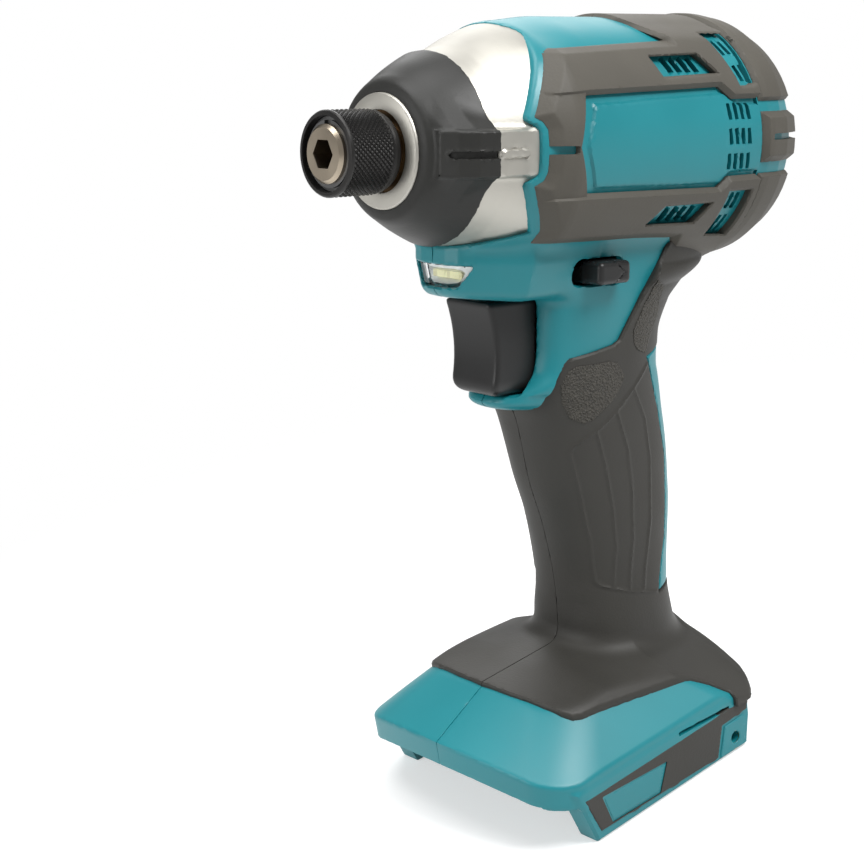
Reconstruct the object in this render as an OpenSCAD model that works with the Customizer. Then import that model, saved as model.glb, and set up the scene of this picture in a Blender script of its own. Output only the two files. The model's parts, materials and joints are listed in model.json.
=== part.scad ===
// Cordless impact driver, bare tool: drive train, motor, switch and moulded housing as separate pieces.
// +X runs forward along the battery rails, +Y is the tool's left, +Z is up from the plane it stands on.
// The head is drawn with its drive axis level, heights measured on the tool, then tipped nose up.

/* [Stance] */
// Angle by which the drive axis points up when the tool stands on its rails, degrees
lean = 12; // [10:0.5:14]
// Place of the head's mid-length over the foot, along the rails
head_x = 1; // [-2:0.5:4]
// Height of the drive axis there above the rail plane
head_z = 163.4; // [160:0.2:167]

/* [Head] */
// Outer radius of the motor housing
housing_r = 31; // [30.5:0.1:33]
// Wall of the moulded housing
wall = 2.2; // [1.8:0.1:2.4]
// Seam between the housing halves and the rear cover
seam_x = -47; // [-49:0.5:-46]
// Back of the rear cover
rear_x = -68.5; // [-72:0.5:-66]
// Radius of the flat end of the rear cover
rear_end_r = 17; // [14:0.5:20]
// How far the soft overmould stands proud of the housing
pad_t = 1.1; // [0.8:0.1:1.6]
// Running or seating clearance between moulded pieces
gap = 0.3; // [0.2:0.05:0.4]

/* [Hammer case] */
// Front face of the hammer case
case_front_x = 52.2; // [51.5:0.1:53]
// Rear end of the hammer case, inside the housing
case_rear_x = -2.5; // [-3.5:0.1:-1.5]
// Radius of the case nose
case_nose_r = 13.6; // [13:0.1:14.2]
// Wall of the hammer case
case_wall = 3.5; // [3:0.1:3.9]
// Rear edge of the rubber bumper
bumper_rear_x = 38; // [36.5:0.5:39.5]
// Radius of the bumper's front flange
flange_r = 16.3; // [15.8:0.1:17]

/* [Chuck] */
// Front face of the anvil
nose_x = 68.5; // [67.5:0.5:70]
// Radius of the anvil's shank
anvil_r = 6.8; // [6.5:0.05:7]
// Width across the flats of the hex socket
hex_af = 6.45; // [6.35:0.01:6.6]
// Depth of the hex socket
hex_depth = 24; // [20:0.5:28]
// Outer radius of the bit sleeve
sleeve_r = 10; // [9.6:0.1:10.6]
// Length of the bit sleeve
sleeve_len = 15.2; // [14.8:0.1:15.4]
// Travel of the bit sleeve
sleeve_travel = 4; // [3:0.5:4]
// Radius of the ball that locks the bit
bit_ball_r = 1.75; // [1.5:0.05:1.9]
// Radial clearance of a running fit
run_fit = 0.06; // [0.03:0.01:0.1]

/* [Impact mechanism] */
// Outer radius of the hammer
hammer_r = 20; // [18.5:0.5:21]
// Front face of the hammer
hammer_front_x = 26.5; // [26:0.1:27]
// Travel of the hammer against its spring
hammer_travel = 6; // [5:0.5:6]
// Height of the hammer's jaws
jaw_len = 5.2; // [4.8:0.1:5.5]
// Radius of the spindle
spindle_r = 8.4; // [7.8:0.1:8.8]
// Wire radius of the hammer spring
spring_wire_r = 1.4; // [1.1:0.1:1.5]
// Turns of the hammer spring
spring_turns = 4; // [3:1:5]

/* [Gears] */
// Module of the gears
gear_module = 0.86; // [0.82:0.01:0.88]
// Face width of the gears
gear_w = 6; // [5:0.5:6.5]
// Gap left between meshing flanks
backlash = 0.12; // [0.08:0.01:0.18]
// Radius of the planet pins
planet_pin_r = 2.5; // [2:0.1:3]

/* [Motor] */
// Wall of the yoke
yoke_wall = 2; // [1.6:0.1:2.4]
// Thickness of the magnets
magnet_t = 5; // [4:0.1:5.2]
// Air gap round the armature
air_gap = 0.9; // [0.6:0.1:1.2]
// Length of the armature core
core_len = 17; // [15:0.5:17.5]
// Radius of the motor shaft
shaft_r = 2.5; // [2.2:0.1:2.7]
// Blades of the cooling fan
fan_blades = 11; // [7:2:15]
// Radius of the commutator
commutator_r = 9.5; // [8.5:0.1:10.5]

/* [Handle and trigger] */
// Thickness of the handle's wall
grip_wall = 2.6; // [2.2:0.1:3]
// Half the width of the trigger
trigger_half = 8.4; // [8:0.1:9]
// Height of the top of the trigger
trigger_top_z = 133.4; // [133:0.1:133.8]
// Height of the bottom of the trigger
trigger_low_z = 109.9; // [109.6:0.1:111]
// Front of the trigger at its tips
trigger_front_x = 24.4; // [23.5:0.1:25]
// How far the trigger's face is hollowed for the finger
trigger_hollow = 2.4; // [1.5:0.1:3]
// Travel of the trigger
trigger_travel = 6; // [4:0.5:6]
// Half the length of the reversing lever's cross bar
lever_half = 28.5; // [27.5:0.5:30]
// Width of the reversing lever's cross bar
lever_w = 11; // [9:0.1:11.5]
// Swing of the reversing lever to either side, degrees
lever_swing = 5; // [4:0.5:6]

/* [Foot] */
// Half the width of the foot
foot_half = 38.3; // [38:0.1:40]
// Front of the foot's slab
foot_front = 65; // [63:0.5:67]
// Back of the foot's slab
foot_back = -14.5; // [-16:0.5:-13]
// Thickness of a side skirt
skirt_t = 6.4; // [6:0.1:7]
// Height of the battery bay
bay_h = 17.4; // [17:0.1:18]
// Front of the rails
rail_front = 50; // [48:0.5:52]
// Back of the rails
rail_back = -8; // [-9:0.5:-7]
// Depth of a rail's lip
rail_lip = 3.6; // [3:0.1:4]
// Radius of the tapped hole for a belt hook
hook_r = 1.65; // [1.6:0.05:1.75]
// Depth of the tapped hole for a belt hook
hook_depth = 6; // [4.5:0.5:6]
// Place of the hook hole along the rails
hook_x = -2.6; // [-3:0.1:-2]
// Height of the hook hole above the rail plane
hook_z = 4.2; // [4:0.1:4.6]

/* [Hidden] */

round_fn = 64;
hull_fn = 32;
sliver = 0.02;
skin_gap = 0.06;
big = 400;
// Height of the drive axis on the tool's own level scale
axis_z = 170.7;

teal = "#23969f";
grey = "#5c5a55";
black = "#2c2c2b";
silver = "#cfcdc6";
steel = "#9a9a98";
dark_steel = "#6b6b6a";
copper = "#b46a3c";

// Teeth of the motor pinion, a planet gear and the ring
sun_teeth = 10;
planet_teeth = 20;
ring_teeth = sun_teeth + 2 * planet_teeth;
ring_r = gear_module * ring_teeth / 2 + 3.4;
planet_orbit = gear_module * (sun_teeth + planet_teeth) / 2;
pressure_angle = 25;
addendum = 0.8;
dedendum = 1.05;
case_r = housing_r - wall - gap;
case_step_x = 17;
seam_gap = gap / 2;
sleeve_rear_x = nose_x - 0.6 - sleeve_len;
bit_ball_x = nose_x - 12;
land_len = 3;
land_x = bit_ball_x - land_len / 2;
// The bit sleeve runs on until its spring is pressed solid
washer_x = land_x + land_len + sleeve_travel + 3.1;
washer_t = 1;
ring_t = 0.9;
bush_rear_x = 36.2;
bush_wall = 2;
lug_x = hammer_front_x + 1;
lug_len = 6.5;
lug_r = hammer_r - 0.6;
carrier_x = -13.4;
plate_t = 2.6;
gear_x = carrier_x + plate_t + gap;
carrier_front_x = gear_x + gear_w + gap;
spindle_shoulder_x = carrier_front_x + plate_t;
bearing_w = 5;
spindle_hub_r = 8.5;
spindle_bearing_r = 13;
front_bearing_r = 6.5;
gear_case_rear_x = carrier_x - gap - bearing_w - 6;
seat_x = spindle_shoulder_x;
seat_t = 1;
hammer_len = hammer_front_x - seat_x - seat_t - hammer_travel - 1.6;
spring_r = (hammer_r + spindle_r) / 2 - 0.8;
cam_ball_r = 2.4;
yoke_front_x = gear_case_rear_x - 5.5;
yoke_r = case_r;
yoke_len = core_len + 4;
core_r = yoke_r - yoke_wall - magnet_t - air_gap;
fan_r = case_r - 3.5;
core_front_x = yoke_front_x - 2;
commutator_x = core_front_x - core_len - 2.8;
brush_plate_x = yoke_front_x - yoke_len - 0.2;
commutator_len = 6.5;
brush_plate_t = 1.8;
rear_screw_y = 15;
rear_bearing_x = rear_x + 4;
trigger_back_x = trigger_front_x - 14;
switch_front_x = trigger_back_x - trigger_travel - 1;
lever_x = 1;
lever_pivot_x = -12;
lever_z = trigger_top_z + 4.2;
lever_t = 3.9;
lever_end_t = 5.6;
lever_slot = lever_w / 2 + 22 * sin(lever_swing) + 0.6;

// Outline of the hammer case: radius and place along the drive axis
cone = [[case_r - 6.1, bumper_rear_x], [case_r - 4.5, 33], [case_r - 1.5, 27.6], [case_r - 0.1, 24.2], [case_r + 1.1, 19]];
// Radius of the case under the rear edge of the bumper
bumper_seat_r = case_r - 7.3;
case_profile = concat([[case_nose_r, case_front_x], [case_nose_r, case_front_x - 3], [bumper_seat_r, bumper_rear_x + 0.2]],
  cone, [[cone[4][0], case_step_x], [case_r, case_step_x]]);
// Raised rail on either side of the nose: its half height, its outer face and its front
rib_half = 5.4;
rib_y = case_r - 1.5;
rib_front_x = 49.6;
// Seating clearance between pieces that don't move
seat_gap = 0.05;
// Thickness of the housing's lobes over the case
lobe_t = 1.4;

// Stations of the grip on the rail plane: height, front, back, half width and squareness
grip_stations = [[32.2, 46.4, -16, 26.6, 6], [33.8, 45.4, -16, 26, 6], [35, 25.4, -15.2, 19.6, 3.2],
  [38.6, 20.5, -14.6, 16.8, 2.6], [45, 18.4, -16, 15.7, 2.4], [51.2, 17.3, -17.8, 15.3, 2.3],
  [65.4, 18.3, -21.2, 15.3, 2.3], [81.2, 20.9, -22.7, 15.6, 2.35], [90, 21.4, -22.4, 16.1, 2.45]];

// Squareness of the back of the grip and neck
back_square = 2.1;

// Stations of the neck on the tool's own scale: height, front, back, half width and squareness
neck_stations = [[105, 8.4, -37.6, 16.6, 2.6], [107.2, 19.4, -37, 16.7, 2.4], [109.4, 20.6, -36.5, 16.8, 2.4],
  [111, 13, -36.1, 17, 2.8], [113.5, 10.2, -35.4, 17.2, 3], [122, 9.8, -35, 18, 3.4], [131, 9.9, -38, 19.4, 3.6],
  [135.4, 13, -42.4, 20, 3.6], [141, 20, -52, 20.4, 3.6], [152, 22, -56, 20.3, 3.8]];

// Layers of the foot's slab: height, front, back, half width and corner radius
slab_layers = [[15.4, foot_front - 0.7, foot_back, foot_half - 0.6, 13],
  [24, foot_front, foot_back, foot_half - 0.3, 13],
  [29.3, foot_front - 8.4, foot_back - 1, foot_half - 8, 9],
  [32.4, foot_front - 16, foot_back - 1.4, foot_half - 11.2, 5]];

module stood() {
  translate([head_x, 0, head_z]) rotate([0, -lean, 0]) translate([0, 0, -axis_z]) children();
}

// Places a child so that its own +Z runs forward along the drive axis from the given place
module along(x = 0) {
  translate([x, 0, axis_z]) rotate([0, 90, 0]) children();
}

// A solid turned about the drive axis from points of radius and place along it
module turned(points, fn = round_fn) {
  along() rotate_extrude($fn = fn) polygon(points);
}

module tube(x0, x1, r_out, r_in) {
  turned([[r_in, x0], [r_out, x0], [r_out, x1], [r_in, x1]]);
}

// A prism across the tool whose outline is given in the side view
module side_prism(points, y0 = -big / 2, y1 = big / 2) {
  translate([0, y1, 0]) rotate([90, 0, 0]) linear_extrude(y1 - y0) polygon(points);
}

module half_space(side) {
  translate([-big / 2, side > 0 ? 0 : -big / 2, -big / 2]) cube([big, big / 2, big]);
}

function bent(c, e) = sign(c) * pow(abs(c), 2 / e);

// An oval that is squared off in front and rounder at the back
function oval(front, back, half, e, n = 28) = [for (i = [0:n - 1]) let (a = 360 * (i + 0.5) / n,
  k = cos(a) < 0 ? min(e, back_square) : e)
  [(front + back) / 2 + (front - back) / 2 * bent(cos(a), k), half * bent(sin(a), k)]];

// Points of one station, on the rail plane or on the tool's own scale
function ring(s, grow) = [for (p = oval(s[1] + grow, s[2] - grow, s[3] + grow, s[4])) [p[0], p[1], s[0]]];

function tipped(p) = [head_x + cos(lean) * p[0] - sin(lean) * (p[2] - axis_z), p[1],
  head_z + sin(lean) * p[0] + cos(lean) * (p[2] - axis_z)];

// Convex body round a list of points
module wrap(points) {
  hull() polyhedron(points, [for (i = [0:len(points) - 3]) [i, i + 1, i + 2]]);
}

// Grip and neck in one run of stations; the neck's lie square to the drive axis's own scale
module handle(grow = 0) {
  rings = concat([for (s = grip_stations) ring(s, grow)],
    [for (s = neck_stations) [for (p = ring(s, grow)) tipped(p)]]);
  for (i = [0:len(rings) - 2]) wrap(concat(rings[i], rings[i + 1]));
}

module rounded_layer(s, grow) {
  corner = s[4] + grow;
  for (x = [s[1] + grow - corner, s[2] - grow + corner], y = [-1, 1])
    translate([x, y * (s[3] + grow - corner), s[0]]) cylinder(r = corner, h = sliver, $fn = hull_fn);
}

module slab(grow = 0) {
  for (i = [0:len(slab_layers) - 2]) hull() {
    rounded_layer(slab_layers[i], grow);
    rounded_layer(slab_layers[i + 1], grow);
  }
}

// The lamp housing under the hammer case
module lamp_nose(grow = 0) {
  hull() {
    translate([36.4, 0, 142.2]) cube([1.6 + 2 * grow, 14 + 2 * grow, 10.6 + 2 * grow], center = true);
    translate([30.6, 0, 142.3]) cube([5 + 2 * grow, 27 + 2 * grow, 14.4 + 2 * grow], center = true);
    translate([12, 0, 143.2]) cube([20 + 2 * grow, 41 + 2 * grow, 17.2 + 2 * grow], center = true);
  }
}

// Side skirt of the foot
module skirt(side) {
  outline = [[rail_front + 6.4, bay_h + 3], [rail_front + 5.6, 15.8], [rail_front, 0], [rail_back, 0],
    [rail_back - 2.4, 9], [rail_back - 3.4, bay_h + 3]];
  y0 = foot_half - skirt_t - 1;
  side_prism(outline, side > 0 ? y0 : -foot_half, side > 0 ? foot_half : -y0);
}

// Wall behind the battery bay, which closes the foot at the back
module back_wall() {
  side_prism([[rail_back + 0.5, 0], [rail_back - 3.5, 0], [foot_back + 0.6, 9], [foot_back + 0.6, 20], [rail_back + 0.5, 20]],
    -foot_half + 1, foot_half - 1);
}

// Rail lip along the inside of a skirt, which holds the battery
module rail(side) {
  y1 = foot_half - skirt_t + 0.5;
  y0 = foot_half - skirt_t - rail_lip;
  side_prism([[rail_front - 4, 3.4], [rail_front - 4, 6.6], [rail_back, 6.6], [rail_back, 3.4]],
    side > 0 ? y0 : -y1, side > 0 ? y1 : -y0);
}

// Front edge of the housing in the side view, from the top down, with the notch for the case boss
housing_front = [[13.5, 34], [16.3, 27], [21.9, 21.9], [28.7, 13], [32, 8], [28.4, 6.6], [28.4, -6.6],
  [32, -8], [28.7, -13], [21.5, -19], [37, -23.2], [60, -24], [60, -200], [-200, -200], [-200, 34]];

// Side windows of the overmould, heights measured from the drive axis
plate_window = [[10.3, 10.9], [13, 0.6], [9.2, -9.6], [-36.5, -10.5], [-39, -8.4], [seam_x - 9, -8.4],
  [seam_x - 9, 9.4], [-39, 11], [-36.7, 13.3]];
pad_outline = [[16, 24.9], [9.2, 24.2], [-28.6, 26.2], [-23, 36], [seam_x - 30, 36], [seam_x - 30, -22.9], [17.3, -22.9], [23, -9.4], [27.9, -6.8], [27.9, 7.9],
  [22.6, 11.6]];

function raised(points) = [for (p = points) [p[0], p[1] + axis_z]];

// Outer form of the moulded head and neck
module head_form(grow = 0) {
  lobes = [for (i = [4:-1:1]) [cone[i][0] + lobe_t + grow, cone[i][1]]];
  turned(concat([[0, seam_x], [housing_r + grow, seam_x], [housing_r + grow, 17.6]], lobes, [[0, 33]]));
}

// Everything that the moulded housing encloses
module housing_form() {
  intersection() {
    union() {
      stood() head_form();
      handle();
      stood() lamp_nose();
    }
    stood() side_prism(raised(housing_front));
  }
  slab();
  back_wall();
}

// Envelope of the rear cover, which the housing stays clear of
module rear_form(grow = 0) {
  turned([[0, rear_x - grow], [rear_end_r + grow, rear_x - grow], [housing_r - 8.5 + grow, -66.6], [housing_r - 3.4 + grow, -62.6],
    [housing_r - 0.8 + grow, -56.5], [housing_r + grow, -51], [housing_r + grow, seam_x - seam_gap],
    [0, seam_x - seam_gap]]);
}

// Round space for the hammer case, gears and motor
module head_hollow() {
  seats = [for (i = [4:-1:0]) [cone[i][0] + gap, cone[i][1]]];
  turned(concat([[0, seam_x - 20], [housing_r - wall, seam_x - 20], [housing_r - wall, case_step_x - gap],
    [cone[4][0] + gap, case_step_x - gap]], seats, [[cone[0][0] + gap, 60], [0, 60]]));
}

// Hollow of the housing
module housing_hollow() {
  stood() head_hollow();
  wrap(concat(ring([40, 17, -12.6, 15, 2.3], -grip_wall), ring([90, 21, -21.4, 15.8, 2.3], -grip_wall)));
  translate([-6, -8, bay_h - 1]) cube([17, 16, 90]);
  stood() translate([-20 - gap, -9.4 - gap, trigger_low_z - gap])
    cube([switch_front_x + 20 + 2 * gap, 18.8 + 2 * gap, trigger_top_z - trigger_low_z + 2 * gap]);
  stood() translate([lever_pivot_x - 5, -8.5, trigger_top_z]) cube([24, 17, lever_z + lever_t + 1 - trigger_top_z]);
  stood() translate([8, -9, 138.8]) cube([24.6, 18, 7]);
  intersection() {
    slab(-2.6);
    translate([rail_back, -foot_half, bay_h + wall]) cube([2 * foot_front, 2 * foot_half, 9.4]);
  }
}

// Battery bay, open below and in front
module bay() {
  y = foot_half - skirt_t;
  translate([rail_back, -y, -20]) cube([big / 4, 2 * y, 20 + bay_h]);
}

module trigger_window() {
  translate([2, -trigger_half - 0.6, trigger_low_z - 0.5])
    cube([60, 2 * trigger_half + 1.2, trigger_top_z - trigger_low_z + 1]);
}

module lever_window() {
  translate([lever_x - lever_slot, -big / 2, lever_z - 0.6])
    cube([2 * lever_slot, big, lever_end_t + 1.2]);
}

// A row of upright vent slots through the side of the head
module slots(x, z, count, pitch, w, h, slant = 0) {
  for (i = [0:count - 1]) translate([x - i * pitch, 0, axis_z + z]) rotate([0, slant, 0])
    cube([w, big, h], center = true);
}

module vents() {
  for (z = [8, 0.4, -6.6]) slots(-37.6, z, 4, 2.3, 1.2, 4.6, -6);
  slots(-22.6, 19.4, 4, 3, 1.9, 4.4, -20);
  slots(-22.6, -17, 4, 3, 1.9, 4.4, 20);
}

// Housing screws: those of the neck on the tool's own scale, those of the grip and foot on the rail plane
neck_screws = [[20.5, 139], [-29, 134.4], [-22, 104]];
grip_screws = [[-4, 62], [-4.5, 39.5], [46, 23.6]];
screw_r = 1.7;
screw_head_r = 3.2;
screw_seat_y = -11;
boss_r = 4.4;

module at_screws() {
  stood() for (p = neck_screws) translate([p[0], 0, p[1]]) children();
  for (p = grip_screws) translate([p[0], 0, p[1]]) children();
}

module screw_way() {
  translate([0, 8, 0]) rotate([90, 0, 0]) cylinder(r = screw_r + 0.15, h = 30, $fn = 24);
  translate([0, screw_seat_y, 0]) rotate([90, 0, 0]) cylinder(r = screw_head_r + 0.25, h = 40, $fn = 24);
}

// One half of the moulded housing; side is 1 for the left half and -1 for the right
module housing_half(side) {
  intersection() {
    difference() {
      union() {
        difference() {
          union() {
            housing_form();
            skirt(side);
          }
          housing_hollow();
          bay();
        }
        rail(side);
        intersection() {
          at_screws() rotate([90, 0, 0]) cylinder(r = boss_r, h = 60, center = true, $fn = 24);
          housing_form();
        }
      }
      stood() head_hollow();
      stood() rear_form(pad_t + gap);
      stood() trigger_window();
      stood() lever_window();
      stood() vents();
      at_screws() screw_way();
      stood() lens_form(gap / 2);
      foot_pad_form(side, gap / 2);
      nut_form(side, 0.1);
    }
    half_space(side);
  }
}

module housing_left() {
  color(teal) housing_half(1);
}

module housing_right() {
  color(teal) housing_half(-1);
}

module rear_cover() {
  inner = [[0, rear_x + 2.2], [rear_end_r - 2, rear_x + 2.2], [housing_r - 10.9, -64.4], [housing_r - 5.8, -61],
    [housing_r - wall, -54], [housing_r - wall, seam_x + 1], [0, seam_x + 1]];
  color(teal) stood() difference() {
    union() {
      difference() {
        rear_form();
        turned(inner);
      }
      tube(rear_x + 2, rear_bearing_x + bearing_w, 9.4, 0);
      for (y = [-1, 1]) translate([0, y * rear_screw_y, 0]) tube(rear_x + 2, brush_plate_x - brush_plate_t, screw_head_r + 1, 0);
    }
    tube(rear_bearing_x - 1, seam_x, 8.05, 0);
    for (y = [-1, 1]) translate([0, y * rear_screw_y, 0]) {
      tube(rear_x - 1, seam_x, screw_r + 0.15, 0);
      tube(rear_x - 5, rear_x + 2.4, screw_head_r + 0.25, 0);
    }
  }
}

// Outline of the grip's skin in the side view, on the tool's own scale
grip_outline = [[9.4, 104.9], [13, 108.6], [10.1, 116.4], [7.5, 119.5], [-9.1, 121.7], [-17, 134], [-25.2, 146.6],
  [-70, 146.6], [-70, 20], [40, 20]];

// Soft skin of the grip for one side
module grip(side) {
  intersection() {
    difference() {
      handle(pad_t);
      handle(skin_gap);
      stood() head_form(pad_t + gap);
      stood() rear_form(pad_t + gap);
      stood() tube(seam_x - 1, seam_x + 1, housing_r + pad_t + gap, 0);
      stood() translate([-60, -8.5, 60]) cube([36, 17, 56]);
      at_screws() screw_way();
      stood() trigger_window();
      translate([-big / 2, -big / 2, -big]) cube([big, big, big + 33]);
    }
    stood() side_prism(grip_outline);
    half_space(side);
  }
}

// Soft pad on the side of the head, turned like the housing under it
module head_pad(side) {
  under = [for (i = [2:4]) [cone[i][0] + lobe_t, cone[i][1]]];
  over = [for (i = [4:-1:2]) [cone[i][0] + lobe_t + pad_t, cone[i][1]]];
  stood() intersection() {
    difference() {
      turned(concat([[housing_r, seam_x + seam_gap], [housing_r + pad_t, seam_x + seam_gap], [housing_r + pad_t, 17.6]],
        over, under, [[housing_r, 17.6]]));
      side_prism(raised(plate_window));
      vent_pockets();
    }
    side_prism(raised(pad_outline));
    half_space(side);
  }
}

module vent_pockets() {
  for (flip = [1, -1]) side_prism([for (p = [[-14.6, 21.8], [-33.6, 22.4], [-36, 17.2], [-18.6, 16.6]])
    [p[0], axis_z + (flip > 0 ? p[1] : 2.4 - p[1])]]);
}

module grip_left() {
  color(grey) grip(1);
}

module grip_right() {
  color(grey) grip(-1);
}

module head_pad_left() {
  color(grey) head_pad(1);
}

module head_pad_right() {
  color(grey) head_pad(-1);
}

// Soft bumpers on the rear cover: a skin over it, kept where the outline given in the rear view allows
module rear_skin(y0, y1, z0, z1) {
  stood() intersection() {
    difference() {
      rear_form(pad_t);
      rear_form(sliver);
      translate([-big / 2, -10, axis_z - 10]) cube([big / 2 - 66, 20, 20]);
    }
    translate([rear_x - 5, y0, axis_z + z0]) cube([seam_x - rear_x + 5 - gap, y1 - y0, z1 - z0]);
  }
}

module rear_bumper_top() {
  color(grey) rear_skin(-40, 40, 8.4, 40);
}

module rear_bumper_bottom() {
  color(grey) rear_skin(-40, 40, -40, -7);
}

module rear_bumper_left() {
  color(grey) rear_skin(20, 40, -4.2, 5.4);
}

module rear_bumper_right() {
  color(grey) rear_skin(-40, -20, -4.2, 5.4);
}

// Grey panel let into a skirt of the foot
module foot_pad_form(side, grow = 0) {
  y0 = foot_half - 1.2 - grow;
  y1 = foot_half + 0.3 + grow;
  outline = [[rail_front + 3, 13.4], [rail_front - 1.2, 2.4], [hook_x + 7, 1.2], [hook_x + 4.2, 9.4], [rail_back - 0.4, 9.8],
    [rail_back - 1.4, 13.4]];
  side_prism(outline, side > 0 ? y0 : -y1, side > 0 ? y1 : -y0);
}

module foot_pad_left() {
  color(grey) foot_pad_form(1);
}

module foot_pad_right() {
  color(grey) foot_pad_form(-1);
}

module hammer_case() {
  chamber_r = case_r - case_wall;
  color(silver) stood() difference() {
    union() {
      turned(concat(case_profile, [[case_r, case_rear_x], [0, case_rear_x], [0, case_front_x]]));
      for (s = [-1, 1]) translate([bumper_rear_x - 4.6, s * 20, axis_z]) cube([9.2, 2 * (rib_y - 20.4), 2 * rib_half], center = true);
    }
    turned([[0, case_rear_x - 1], [chamber_r, case_rear_x - 1], [chamber_r, 24], [lug_r + 1.4, 29.5],
      [lug_r + 1.4, bush_rear_x - 1], [0, bush_rear_x - 1]]);
    tube(bush_rear_x - 2, case_front_x + 1, anvil_r + bush_wall + 0.8, 0);
    for (s = [-1, 1]) translate([bumper_rear_x - 4.6, s * rib_y, axis_z]) cube([big, 1.6, 1.4], center = true);
  }
}

module nose_bumper() {
  front = case_front_x - 0.7;
  rear = bumper_rear_x + gap;
  seat = case_nose_r + seat_gap;
  rib_plan = [[rear, 12], [rear, rib_y], [rib_front_x - 6, rib_y - 1.4], [rib_front_x - 2.6, rib_y - 4.4], [rib_front_x, rib_y - 8.4],
    [rib_front_x, 12]];
  inner = [[bumper_seat_r + seat_gap, rear], [seat, case_front_x - 3 + seat_gap], [seat, front]];
  color(black) stood() union() {
    turned(concat(inner, [[flange_r, front], [flange_r + 1.7, front - 2], [case_r - 8, 46.6], [case_r - 6.4, 43.5],
      [case_r - 5.5, 40.4], [case_r - 5.3, rear]]));
    for (s = [-1, 1]) difference() {
      translate([0, 0, axis_z - rib_half]) linear_extrude(2 * rib_half)
        polygon([for (p = rib_plan) [p[0], s * p[1]]]);
      turned(concat([[0, rear - 1], [bumper_seat_r + seat_gap, rear - 1]], inner, [[0, front]]));
      translate([(rear + rib_front_x) / 2, s * rib_y, axis_z]) cube([big, 1.2, 1.4], center = true);
    }
  }
}

module bit_sleeve() {
  color(black) stood() turned([[anvil_r + run_fit, land_x], [anvil_r + run_fit, land_x + land_len],
    [anvil_r + 1.9, land_x + land_len], [anvil_r + 1.9, nose_x - 0.6], [sleeve_r - 0.4, nose_x - 0.6],
    [sleeve_r, nose_x - 1.1], [sleeve_r, sleeve_rear_x + 0.6], [sleeve_r - 0.6, sleeve_rear_x],
    [anvil_r + 1.5, sleeve_rear_x], [anvil_r + 1.5, land_x]]);
}

// A coil spring along the drive axis: one unbroken tube of round wire
module coil(x0, x1, r, wire, turns, sides = 6, steps = 8) {
  n = turns * steps;
  rise = x1 - x0 - 2 * wire;
  pts = [for (i = [0:n]) let (a = 360 * i / steps) for (k = [0:sides - 1]) let (b = 360 * k / sides)
    [(r + wire * cos(b)) * cos(a), (r + wire * cos(b)) * sin(a), x0 + wire + rise * i / n + wire * sin(b)]];
  sides_up = [for (i = [0:n - 1]) for (k = [0:sides - 1]) let (m = (k + 1) % sides)
    each [[i * sides + k, (i + 1) * sides + m, i * sides + m],
      [i * sides + k, (i + 1) * sides + k, (i + 1) * sides + m]]];
  ends = [[for (k = [0:sides - 1]) k], [for (k = [sides - 1:-1:0]) n * sides + k]];
  echo(spring_gap = rise / turns - 2 * wire);
  along() polyhedron(pts, concat(sides_up, ends));
}

module sleeve_spring() {
  color(steel) stood() coil(land_x + land_len + 0.1, washer_x - 0.1, anvil_r + 1, 0.45, 3);
}

module sleeve_washer() {
  color(dark_steel) stood() tube(washer_x, washer_x + washer_t, anvil_r + 1.75, anvil_r + run_fit);
}

module retaining_ring() {
  color(dark_steel) stood() difference() {
    tube(washer_x + washer_t, washer_x + washer_t + ring_t, anvil_r + 0.9, anvil_r - 0.55);
    translate([washer_x + washer_t - 1, -1.2, axis_z]) cube([4, 2.4, 12]);
  }
}

module bit_ball() {
  color(steel) stood() translate([bit_ball_x, 0, axis_z + anvil_r - bit_ball_r - 0.05]) sphere(r = bit_ball_r, $fn = 24);
}

module anvil() {
  journal_r = anvil_r + 0.5;
  color("#b3a78e") stood() difference() {
    union() {
      turned([[0, nose_x], [anvil_r - 0.8, nose_x], [anvil_r, nose_x - 0.8], [anvil_r, washer_x + washer_t + ring_t + 0.05],
        [anvil_r - 0.6, washer_x + washer_t + ring_t + 0.05], [anvil_r - 0.6, washer_x + washer_t - 0.02],
        [anvil_r, washer_x + washer_t - 0.02], [anvil_r, case_front_x + 0.2], [journal_r, case_front_x - 0.6],
        [journal_r, lug_x], [0, lug_x]]);
      intersection() {
        tube(lug_x, lug_x + lug_len, lug_r, 0);
        translate([lug_x, -lug_r, axis_z - 5]) cube([lug_len, 2 * lug_r, 10]);
      }
      tube(lug_x, lug_x + lug_len, 11, 0);
    }
    along(nose_x - hex_depth) rotate([0, 0, 30]) cylinder(r = hex_af / 2 / cos(30), h = hex_depth + 1, $fn = 6);
    turned([[0, nose_x - 1.2], [hex_af / 2, nose_x - 1.2], [hex_af / 2 + 1.1, nose_x + 0.1], [0, nose_x + 0.1]]);
    translate([bit_ball_x, 0, axis_z]) cylinder(r = bit_ball_r + 0.06, h = anvil_r + 2, $fn = round_fn);
    tube(lug_x - 1, lug_x + 6, 4 + run_fit, 0);
  }
}

module anvil_bush() {
  color("#b08d57") stood() tube(bush_rear_x, case_front_x - 1.2, anvil_r + 0.5 + bush_wall + 0.25, anvil_r + 0.5 + run_fit);
}

module thrust_washer() {
  color("#e8e4d8") stood() tube(lug_x + lug_len + 0.1, bush_rear_x - 1, lug_r, anvil_r + 0.5 + gap);
}

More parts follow.
